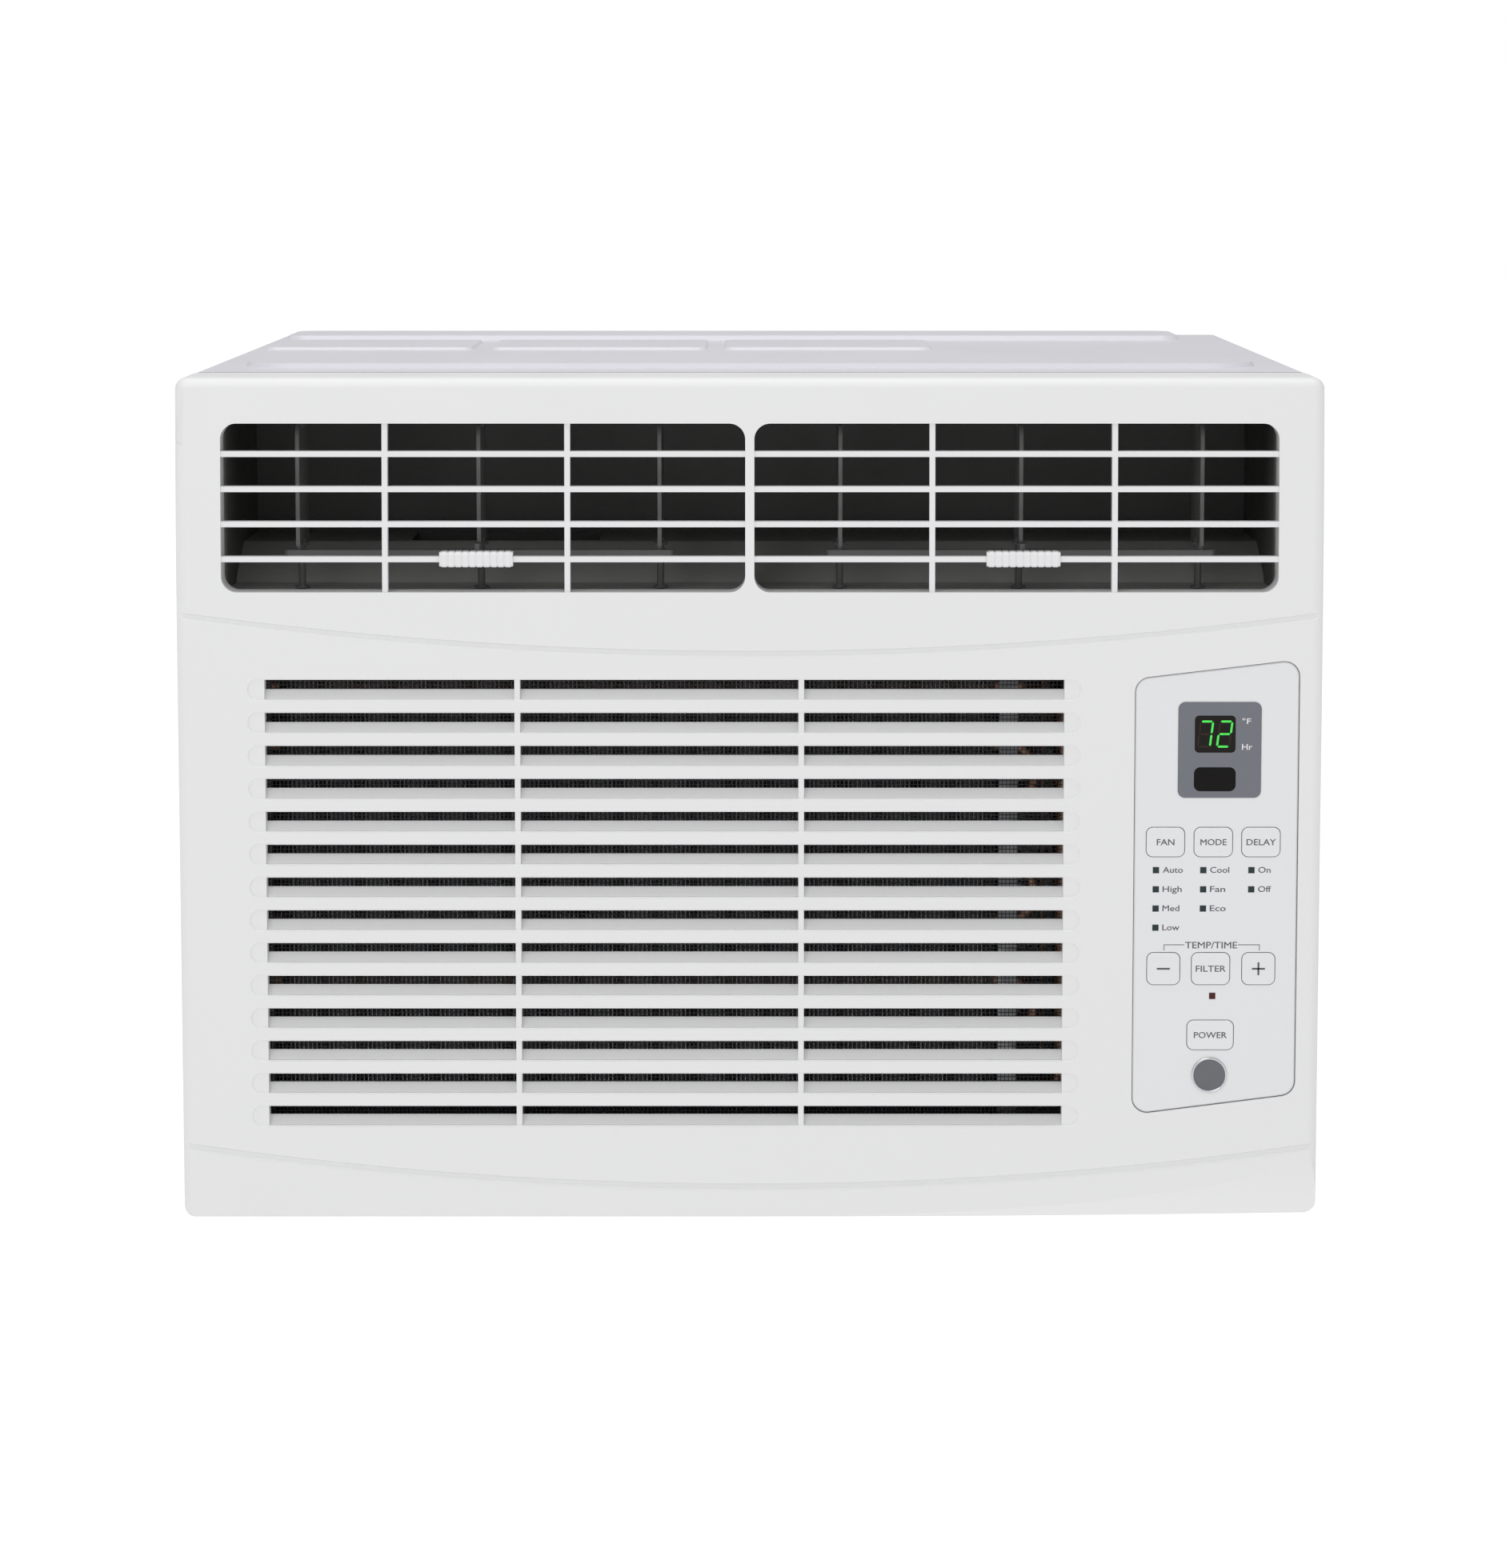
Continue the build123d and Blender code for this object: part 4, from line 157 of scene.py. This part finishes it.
def duct_moulding(name, color):
    """Dark duct plastic with painted light: paler on its upward faces and towards its front edge,
    as if lit from above and in front.
    """
    made = Surface(name, color, 0.55)
    along = made.node("ShaderNodeSeparateXYZ")
    made.link(made.place, along.inputs["Vector"])
    front = made.node("ShaderNodeMapRange", From_Min=PAINTED_LIGHT_BACK_Y, From_Max=PAINTED_LIGHT_FRONT_Y,
                      To_Min=0.3, To_Max=0.7)
    made.link(along.outputs["Y"], front.inputs["Value"])
    facing = made.node("ShaderNodeSeparateXYZ")
    geometry = made.node("ShaderNodeNewGeometry")
    made.link(geometry.outputs["Normal"], facing.inputs["Vector"])
    upward = made.node("ShaderNodeMapRange", From_Min=0.5, From_Max=0.9, To_Min=0.3, To_Max=0.6)
    made.link(facing.outputs["Z"], upward.inputs["Value"])
    # painted light: upward faces and the front edge are tinted paler, as if lit from above and in
    # front
    painted_light = made.tree.nodes.new("ShaderNodeMath")
    painted_light.operation = "MAXIMUM"
    made.link(front.outputs["Result"], painted_light.inputs[0])
    made.link(upward.outputs["Result"], painted_light.inputs[1])
    made.tint(painted_light.outputs["Value"], 0.95, (0.45, 0.45, 0.44))
    made.scuff(made.noise(0.02, 3.0), 0.05)
    made.emboss(made.noise(0.0009, 2.0), 0.00003)
    return made.material


def painted(name, color, roughness=0.36):
    """Baked paint on sheet steel, with orange peel and a slight waviness."""
    made = Surface(name, color, roughness)
    made.shader.inputs["Coat Weight"].default_value = 0.15
    made.shader.inputs["Coat Roughness"].default_value = 0.25
    made.tint(made.noise(0.12, 2.0), 0.03, tuple(c * 0.85 for c in color))
    made.scuff(made.noise(0.03, 3.0), 0.05)
    made.emboss(made.noise(0.0014, 2.0), 0.00002)
    made.emboss(made.noise(0.08, 1.0), 0.0003)
    return made.material


def metal(name, color, roughness, stretch=None, grain=0.002):
    """Bare metal, brushed along one direction or plain, with tarnish."""
    made = Surface(name, color, roughness, metallic=1.0)
    made.tint(made.noise(0.03, 4.0), 0.25, tuple(c * 0.7 for c in color))
    made.scuff(made.noise(0.008, 3.0), 0.08)
    made.emboss(made.noise(grain, 3.0, stretch), 0.00002)
    return made.material


def galvanised(name):
    """Zinc-coated sheet with its spangle."""
    made = Surface(name, (0.56, 0.57, 0.59), 0.42, metallic=1.0)
    spangle = made.cells(0.009)
    made.tint(spangle.outputs["Color"], 0.35, (0.36, 0.37, 0.40))
    made.scuff(spangle.outputs["Color"], 0.09)
    made.emboss(made.noise(0.004, 2.0), 0.00001)
    return made.material


def foam(name):
    """Expanded polystyrene with its beads."""
    made = Surface(name, (0.82, 0.82, 0.80), 0.75)
    beads = made.cells(0.0035)
    made.tint(beads.outputs["Distance"], 0.12, (0.60, 0.60, 0.58))
    made.emboss(beads.outputs["Distance"], -0.0004)
    return made.material


def circuit_board(name):
    """Green solder mask with a faint pattern of tracks."""
    made = Surface(name, (0.02, 0.12, 0.05), 0.35)
    tracks = made.node("ShaderNodeTexBrick", Scale=120.0, Mortar_Size=0.03)
    made.link(made.place, tracks.inputs["Vector"])
    made.tint(tracks.outputs["Fac"], 0.35, (0.08, 0.30, 0.14))
    made.emboss(tracks.outputs["Fac"], 0.00005)
    return made.material


def glossy(name, color, roughness=0.12, specular=0.12):
    """Polished plastic window with faint smears."""
    made = Surface(name, color, roughness, specular=specular)
    made.tint(made.noise(0.01, 3.0), 0.2, tuple(min(1.0, c * 1.6 + 0.004) for c in color))
    made.scuff(made.noise(0.006, 4.0), 0.05)
    return made.material


def glowing(name, color, light, strength):
    """Lit display segment, its glow varying slightly across it."""
    made = Surface(name, color, 0.4)
    made.shader.inputs["Emission Color"].default_value = (*light, 1.0)
    made.link(made.spread(made.noise(0.0012, 1.0), strength * 0.85, strength * 1.1),
              made.shader.inputs["Emission Strength"])
    return made.material


def ink(name, color):
    """Printed ink, slightly uneven."""
    made = Surface(name, color, 0.55)
    made.tint(made.noise(0.0008, 3.0), 0.2, tuple(c * 0.7 for c in color))
    made.scuff(made.noise(0.001, 2.0), 0.05)
    return made.material


white = moulded("white_plastic", (0.805, 0.806, 0.812))
lattice_white = moulded("lattice_plastic", (0.80, 0.80, 0.81), 0.38)
control_white = moulded("control_plastic", (0.785, 0.79, 0.805), 0.40, 0.0004, 0.000008)
dark_plastic = moulded("dark_plastic", (0.06, 0.059, 0.056), 0.55, 0.0009, 0.00003)
vane_plastic = moulded("vane_plastic", (0.125, 0.125, 0.123), 0.5)
filter_plastic = moulded("filter_plastic", (0.09, 0.09, 0.092), 0.5)
bezel_grey = moulded("bezel_plastic", (0.155, 0.165, 0.19), 0.38)
case_paint = painted("case_paint", (0.735, 0.725, 0.78))
shell_black = painted("shell_paint", (0.025, 0.025, 0.026), 0.4)
motor_grey = painted("motor_paint", (0.20, 0.21, 0.22), 0.45)
zinc = galvanised("zinc_sheet")
fin_metal = metal("fin_metal", (0.78, 0.79, 0.80), 0.34, (1.0, 1.0, 0.08))
copper = metal("copper", (0.64, 0.37, 0.26), 0.36)
steel = metal("turned_steel", (0.60, 0.60, 0.60), 0.28, (1.0, 0.1, 1.0), 0.0008)
can_metal = metal("can_metal", (0.70, 0.70, 0.71), 0.32, (1.0, 1.0, 0.1))
duct_plastic = duct_moulding("duct_plastic", (0.11, 0.11, 0.107))
rubber = moulded("rubber", (0.022, 0.022, 0.022), 0.7, 0.0006, 0.00003)
polystyrene = foam("polystyrene")
board = circuit_board("circuit_board")
display_black = glossy("display_window", (0.012, 0.010, 0.009))
infrared_black = glossy("infrared_window", (0.006, 0.005, 0.005), 0.35)
lamp_green = glossy("lamp_green", (0.030, 0.042, 0.044), 0.3)
lamp_red = glossy("lamp_red", (0.070, 0.018, 0.020), 0.3)
badge_metal = metal("badge_metal", (0.17, 0.175, 0.19), 0.42, (1.0, 1.0, 0.08), 0.0005)
rim_metal = metal("rim_metal", (0.62, 0.63, 0.65), 0.3)
text_ink = ink("grey_ink", (0.115, 0.115, 0.12))
white_ink = ink("white_ink", (0.78, 0.78, 0.80))
segment_lit = glowing("segment_lit", (0.02, 0.20, 0.03), (0.045, 0.62, 0.06), 1.0)
segment_dim = glossy("segment_dim", (0.030, 0.020, 0.013), 0.4)

CAD_MATERIALS = {
    white: ["front_panel", "intake_grille"],
    lattice_white: ["discharge_grille", "vane_knob_left", "vane_knob_right"],
    control_white: ["control_panel", "fan_key", "mode_key", "delay_key", "minus_key", "filter_key",
                    "plus_key", "power_key"],
    duct_plastic: ["air_outlet_duct", "discharge_plenum"],
    dark_plastic: ["inlet_orifice", "condenser_shroud", "blower_wheel", "condenser_fan"],
    vane_plastic: ["vane_link_left", "vane_left_inner", "vane_left_middle", "vane_left_outer",
                   "vane_link_right", "vane_right_inner", "vane_right_middle", "vane_right_outer"],
    filter_plastic: ["filter_frame", "filter_mesh"],
    bezel_grey: ["display_bezel"],
    case_paint: ["case"],
    shell_black: ["compressor", "accumulator"],
    motor_grey: ["fan_motor"],
    zinc: ["base_pan", "bulkhead", "motor_bracket", "control_box", "evaporator_end_plates",
           "condenser_end_plates"],
    fin_metal: ["evaporator_fins", "condenser_fins"],
    copper: ["evaporator_tubes", "condenser_tubes", "refrigerant_lines", "capillary_tube",
             "filter_drier"],
    steel: ["motor_shaft", "case_screws", "compressor_nuts"],
    can_metal: ["run_capacitor"],
    rubber: ["compressor_grommets", "cord_bushing", "key_switches"],
    polystyrene: ["scroll_housing"],
    board: ["control_board"],
    display_black: ["digit_display"],
    infrared_black: ["infrared_window"],
    lamp_green: ["indicator_lights"],
    badge_metal: ["badge"],
}
for surface, names in CAD_MATERIALS.items():
    for name in names:
        nodes[name].data.materials.clear()
        nodes[name].data.materials.append(surface)


# ---------------------------------------------------------------- mesh helpers
def piece(name, mesh_maker, surface, body):
    """A new mesh object that rides on a body."""
    bm = bmesh.new()
    mesh_maker(bm)
    mesh = bpy.data.meshes.new(name)
    bm.to_mesh(mesh)
    bm.free()
    mesh.materials.append(surface)
    made = bpy.data.objects.new(name, mesh)
    bpy.context.scene.collection.objects.link(made)
    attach(made, body)
    return made


def add_box(bm, low, high):
    """Adds a closed box between two corners."""
    corners = [bm.verts.new((x, y, z)) for x in (low[0], high[0]) for y in (low[1], high[1])
               for z in (low[2], high[2])]
    for face in ((0, 1, 3, 2), (4, 6, 7, 5), (0, 4, 5, 1),
                 (2, 3, 7, 6), (0, 2, 6, 4), (1, 5, 7, 3)):
        bm.faces.new([corners[i] for i in face])


def add_prism(bm, outline, front_y, back_y):
    """Adds a closed prism from an outline of (x, z) points, between two depths."""
    front = [bm.verts.new((x, front_y, z)) for x, z in outline]
    back = [bm.verts.new((x, back_y, z)) for x, z in outline]
    bm.faces.new(front)
    bm.faces.new(back[::-1])
    for i in range(len(outline)):
        j = (i + 1) % len(outline)
        bm.faces.new((front[i], back[i], back[j], front[j]))


# ---------------------------------------------------------------- coils' fin packs
FIN_OVERRUN = 8.0 * MM
FIN_PITCH = 1.8 * MM
FIN_T = 0.2 * MM
FIN_FOLDS = 8
FIN_HALF_WAVE = 0.45 * FIN_PITCH
FIN_START = 0.8 * FIN_PITCH


def fin_pack(name, node):
    """Thin corrugated fins in place of the frame's coarser plates, from end plate to end plate."""
    low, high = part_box(node)
    count = int((high.x - low.x + FIN_OVERRUN) / FIN_PITCH)

    def make(bm):
        step = (high.y - low.y) / FIN_FOLDS
        for index in range(count):
            x = low.x + FIN_START + index * FIN_PITCH
            rows = []
            for fold in range(FIN_FOLDS + 1):
                offset = FIN_HALF_WAVE if fold % 2 else -FIN_HALF_WAVE
                y = low.y + fold * step
                rows.append([bm.verts.new((x + offset + side * FIN_T / 2, y, z))
                             for side, z in ((-1, low.z), (1, low.z), (1, high.z), (-1, high.z))])
            for here, after in zip(rows, rows[1:]):
                for i in range(4):
                    j = (i + 1) % 4
                    bm.faces.new((here[i], here[j], after[j], after[i]))
            bm.faces.new(rows[0][::-1])
            bm.faces.new(rows[-1])

    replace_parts(piece(name, make, fin_metal, "cabinet"), node)


fin_pack("evaporator_fin_pack", "evaporator_fins")
fin_pack("condenser_fin_pack", "condenser_fins")


# ---------------------------------------------------------------- woven filter net
STRAND_PITCH = 1.6 * MM
STRAND_HALF = 0.16 * MM
STRAND_WEAVE = 0.12 * MM


def filter_net():
    """Net of crossed strands, alternately forward and back, in place of the frame's flat sheet."""
    low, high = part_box("filter_mesh")
    middle = (low.y + high.y) / 2
    half = STRAND_HALF

    def make(bm):
        for index in range(int((high.x - low.x) / STRAND_PITCH)):
            x = low.x + (index + 0.5) * STRAND_PITCH
            y = middle + (STRAND_WEAVE if index % 2 else -STRAND_WEAVE)
            add_box(bm, (x - half, y - half, low.z), (x + half, y + half, high.z))
        for index in range(int((high.z - low.z) / STRAND_PITCH)):
            z = low.z + (index + 0.5) * STRAND_PITCH
            y = middle + (STRAND_WEAVE if index % 2 else -STRAND_WEAVE)
            add_box(bm, (low.x, y - half, z - half), (high.x, y + half, z + half))

    net = piece("filter_net", make, filter_plastic, "air_filter")
    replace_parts(net, "filter_mesh")


filter_net()


# ---------------------------------------------------------------- display digits
SEGMENTS = {"7": "abc", "2": "abged"}
DIGIT_H = 10.4 * MM
DIGIT_W = 5.0 * MM
SEGMENT_W = 0.85 * MM
SEGMENT_GAP = 0.25 * MM
SEGMENT_PROUD = 0.06 * MM
SEGMENT_SUNK = 0.1 * MM
SLANT = tan(radians(7))


def digit_segments(centre_x, centre_z):
    """Outlines of a digit's seven bars, slanted, keyed a to g from the top."""
    half_w, half_h = DIGIT_W / 2, DIGIT_H / 2
    bevel = SEGMENT_W / 2
    runs = {
        "a": ((-half_w, half_h), (half_w, half_h)),
        "b": ((half_w, half_h), (half_w, 0)),
        "c": ((half_w, 0), (half_w, -half_h)),
        "d": ((-half_w, -half_h), (half_w, -half_h)),
        "e": ((-half_w, 0), (-half_w, -half_h)),
        "f": ((-half_w, half_h), (-half_w, 0)),
        "g": ((-half_w, 0), (half_w, 0)),
    }
    outlines = {}
    for key, (start, end) in runs.items():
        start, end = Vector(start), Vector(end)
        along = (end - start).normalized()
        across = Vector((-along.y, along.x)) * bevel
        start, end = start + along * SEGMENT_GAP, end - along * SEGMENT_GAP
        points = (start, start + along * bevel + across, end - along * bevel + across, end,
                  end - along * bevel - across, start + along * bevel - across)
        outlines[key] = [(centre_x + p.x + p.y * SLANT, centre_z + p.y) for p in points]
    return outlines


def display_digits():
    """Two seven-bar digits behind the display window's face."""
    low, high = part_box("digit_display")
    middle_x, middle_z = (low.x + high.x) / 2, (low.z + high.z) / 2
    face = low.y
    places = (("7", middle_x - 4.0 * MM), ("2", middle_x + 3.9 * MM))

    def make(lit):
        def fill(bm):
            for digit, x in places:
                for key, outline in digit_segments(x, middle_z).items():
                    if (key in SEGMENTS[digit]) == lit:
                        add_prism(bm, outline, face - SEGMENT_PROUD, face + SEGMENT_SUNK)
        return fill

    piece("lit_segments", make(True), segment_lit, "cabinet")
    piece("dim_segments", make(False), segment_dim, "cabinet")


display_digits()

# ---------------------------------------------------------------- printed captions
PANEL_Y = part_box("control_panel")[0].y
PRINT_T = 0.04 * MM
STROKE_GROWTH = 0.1 * MM


def caption(text, left, centre_z, width, height, face_y):
    """Mesh of a word, scaled to a width and capital height, standing on a face towards -Y."""
    curve = bpy.data.curves.new("word", "FONT")
    curve.body = text
    curve.resolution_u = 3
    curve.extrude = 0.05
    holder = bpy.data.objects.new("word", curve)
    mesh = bpy.data.meshes.new_from_object(holder)
    bpy.data.objects.remove(holder)
    low_x = min(v.co.x for v in mesh.vertices)
    high_x = max(v.co.x for v in mesh.vertices)
    high_y = max(v.co.y for v in mesh.vertices)
    for v in mesh.vertices:
        x = left + (v.co.x - low_x) / (high_x - low_x) * width
        y = face_y - PRINT_T * v.co.z / curve.extrude
        z = centre_z + (v.co.y / high_y - 0.5) * height
        v.co = Vector((x, y, z))
    bm = bmesh.new()
    bm.from_mesh(mesh)
    for v in bm.verts:
        v.co += Vector((STROKE_GROWTH, PRINT_T * 0.1, STROKE_GROWTH * 0.5))
    bm.from_mesh(mesh)
    bm.to_mesh(mesh)
    bm.free()
    return mesh


def printed(name, meshes, surface, body):
    """One piece made from several meshes of print."""
    def make(bm):
        for mesh in meshes:
            bm.from_mesh(mesh)
    return piece(name, make, surface, body)


def bar_mesh(low_x, low_z, high_x, high_z, face_y):
    """Mesh of one printed bar."""
    bm = bmesh.new()
    add_box(bm, (low_x, face_y - PRINT_T, low_z), (high_x, face_y + PRINT_T, high_z))
    made = bpy.data.meshes.new("bar")
    bm.to_mesh(made)
    bm.free()
    return made


CAP_H = 2.4 * MM
COLUMN_X = (169.9 * MM, 189.4 * MM, 209.2 * MM)
COLUMN_WORDS = (
    (("Auto", 8.2), ("High", 7.8), ("Med", 6.9), ("Low", 7.0)),
    (("Cool", 7.8), ("Fan", 6.2), ("Eco", 6.5)),
    (("On", 5.0), ("Off", 5.3)),
)
FIRST_ROW_Z = 147.5 * MM
ROW_PITCH = 8.0 * MM
words = []
for left, column in zip(COLUMN_X, COLUMN_WORDS):
    for row, (word, width) in enumerate(column):
        words.append(caption(word, left, FIRST_ROW_Z - row * ROW_PITCH, width * MM, CAP_H, PANEL_Y))
words.append(caption("TEMP/TIME", 179.4 * MM, 116.1 * MM, 21.4 * MM, 2.7 * MM, PANEL_Y))
BRACKET_Z = 116.1 * MM
BRACKET_DROP = 2.2 * MM
LINE_W = 0.3 * MM
for outer, inner in ((170.6, 179.0), (209.9, 201.2)):
    outer, inner = outer * MM, inner * MM
    left, right = min(outer, inner), max(outer, inner)
    words.append(bar_mesh(left, BRACKET_Z, right, BRACKET_Z + LINE_W, PANEL_Y))
    foot, top = BRACKET_Z - BRACKET_DROP, BRACKET_Z + LINE_W
    words.append(bar_mesh(outer, foot, outer + LINE_W, top, PANEL_Y))
printed("panel_captions", words, text_ink, "cabinet")

BEZEL_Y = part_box("display_bezel")[0].y
unit_words = [
    caption("°F", 201.9 * MM, 209.3 * MM, 3.6 * MM, 2.4 * MM, BEZEL_Y),
    caption("Hr", 201.9 * MM, 198.6 * MM, 4.2 * MM, 2.4 * MM, BEZEL_Y),
]
printed("unit_captions", unit_words, white_ink, "cabinet")

KEY_CAP_H = 2.5 * MM
KEY_WORDS = {
    "fan_key": ("FAN", 7.2),
    "mode_key": ("MODE", 10.7),
    "delay_key": ("DELAY", 12.0),
    "filter_key": ("FILTER", 12.3),
    "power_key": ("POWER", 13.5),
}
for key, (word, width) in KEY_WORDS.items():
    low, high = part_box(key)
    middle_x, middle_z = (low.x + high.x) / 2, (low.z + high.z) / 2
    mesh = caption(word, middle_x - width * MM / 2, middle_z, width * MM, KEY_CAP_H, low.y)
    printed(f"{key}_caption", [mesh], text_ink, key)
LONG, THIN = 2.7 * MM, 0.4 * MM
for key, strokes in (("minus_key", ((LONG, THIN),)), ("plus_key", ((LONG, THIN), (THIN, LONG)))):
    low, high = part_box(key)
    middle_x, middle_z = (low.x + high.x) / 2, (low.z + high.z) / 2
    signs = [bar_mesh(middle_x - w, middle_z - h, middle_x + w, middle_z + h, low.y)
             for w, h in strokes]
    printed(f"{key}_sign", signs, text_ink, key)


# ---------------------------------------------------------------- badge rim and filter light
def ring(bm, centre_x, centre_z, outer, inner, face_y, height, steps=64):
    """Adds a raised ring with rounded shoulders, on a face that looks along -Y."""
    mid = (outer + inner) / 2
    crown = 0.25 * (outer - inner)
    profile = ((outer, 0.0), (outer, 0.6), (mid + crown, 1.0), (mid - crown, 1.0),
               (inner, 0.6), (inner, 0.0))
    loops = []
    for step in range(steps):
        angle = 2 * pi * step / steps
        right, up = cos(angle), sin(angle)
        loops.append([bm.verts.new((centre_x + r * right, face_y - h * height, centre_z + r * up))
                      for r, h in profile])
    for step in range(steps):
        here, after = loops[step], loops[(step + 1) % steps]
        for i in range(len(profile)):
            j = (i + 1) % len(profile)
            bm.faces.new((here[i], here[j], after[j], after[i]))


RIM_W = 0.7 * MM
RIM_H = 0.24 * MM
RIM_SUNK = 0.04 * MM


def badge_rim():
    """Raised rim round the plain disc."""
    low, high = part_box("badge")
    centre_x, centre_z = (low.x + high.x) / 2, (low.z + high.z) / 2
    radius = (high.x - low.x) / 2

    def make(bm):
        ring(bm, centre_x, centre_z, radius, radius - RIM_W, low.y + RIM_SUNK, RIM_H)

    piece("badge_rim", make, rim_metal, "cabinet")


LAMP_X = 190.8 * MM
LAMP_HALF = 1.25 * MM
LAMP_PROUD = 0.08 * MM
LAMP_SUNK = 0.1 * MM
LAMP_MARGIN = 0.04 * MM


def filter_lamp():
    """Red lens over the lowest of the indicator lights."""
    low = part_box("indicator_lights")[0]

    def make(bm):
        add_box(bm, (LAMP_X - LAMP_HALF, low.y - LAMP_PROUD, low.z - LAMP_MARGIN),
                (LAMP_X + LAMP_HALF, low.y + LAMP_SUNK, low.z + 2 * LAMP_HALF + LAMP_MARGIN))

    piece("filter_lamp", make, lamp_red, "cabinet")


badge_rim()
filter_lamp()

# ---------------------------------------------------------------- stage, light and camera
AMBIENT = 0.48
FLOOR_GLOW = 0.94
FLOOR_HALF_W = 12.0

floor_mesh = bpy.data.meshes.new("floor")
floor_bm = bmesh.new()
bmesh.ops.create_grid(floor_bm, x_segments=1, y_segments=1, size=FLOOR_HALF_W)
floor_bm.to_mesh(floor_mesh)
floor_bm.free()
floor = bpy.data.objects.new("floor", floor_mesh)
bpy.context.scene.collection.objects.link(floor)
floor_surface = Surface("floor_paper", (0.16, 0.16, 0.16), 0.9, specular=0.1)
floor_surface.tint(floor_surface.noise(0.5, 2.0), 0.02, (0.15, 0.15, 0.15))
floor_surface.shader.inputs["Emission Color"].default_value = (1.0, 1.0, 1.0, 1.0)
floor_surface.shader.inputs["Emission Strength"].default_value = FLOOR_GLOW
floor_mesh.materials.append(floor_surface.material)
floor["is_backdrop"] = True

world = bpy.data.worlds.new("studio")
world.use_nodes = True
sky = world.node_tree
backdrop = sky.nodes["Background"]
backdrop.inputs["Color"].default_value = (1.0, 1.0, 1.0, 1.0)
ray = sky.nodes.new("ShaderNodeLightPath").outputs["Is Camera Ray"]
strength = sky.nodes.new("ShaderNodeMapRange")
strength.inputs["To Min"].default_value = AMBIENT
strength.inputs["To Max"].default_value = 1.0
sky.links.new(ray, strength.inputs["Value"])
sky.links.new(strength.outputs["Result"], backdrop.inputs["Strength"])
bpy.context.scene.world = world


def softbox(name, place, aim, width, height, power):
    """Large area light at a place, turned towards a point."""
    light = bpy.data.lights.new(name, "AREA")
    light.shape = "RECTANGLE"
    light.size, light.size_y = width, height
    light.energy = power
    made = bpy.data.objects.new(name, light)
    made.location = place
    made.rotation_euler = (Vector(aim) - Vector(place)).to_track_quat("-Z", "Y").to_euler()
    bpy.context.scene.collection.objects.link(made)
    return made


softbox("front", (-0.5, -2.1, 1.9), (0.0, -0.1, 0.2), 1.6, 1.0, 13.5)
softbox("overhead", (0.0, -0.35, 2.4), (0.0, 0.0, 0.2), 2.0, 1.6, 22.0)

SENSOR = 36.0
LENS = 98.8
# the level camera's lens shift, and how much of it is kept: a small pitch stands in for the rest
FULL_SHIFT = 0.4077
SHIFT = 0.13
SIDE_SHIFT = 0.0056
CAMERA_X = 0.0049
CAMERA_Y = -0.1975 - 1.750
CAMERA_Z = 0.4445
pitch = atan((FULL_SHIFT - SHIFT) * SENSOR / LENS)
camera_data = bpy.data.cameras.new("camera")
camera_data.lens = LENS
camera_data.sensor_width = SENSOR
camera_data.shift_x = -SIDE_SHIFT
camera_data.shift_y = -SHIFT
camera_data.clip_end = 50.0
camera = bpy.data.objects.new("camera", camera_data)
camera.location = (CAMERA_X, CAMERA_Y, CAMERA_Z)
camera.rotation_euler = (pi / 2 - pitch, 0.0, 0.0)
bpy.context.scene.collection.objects.link(camera)
bpy.context.scene.camera = camera
bpy.context.scene.view_settings.view_transform = "Standard"

low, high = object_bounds()
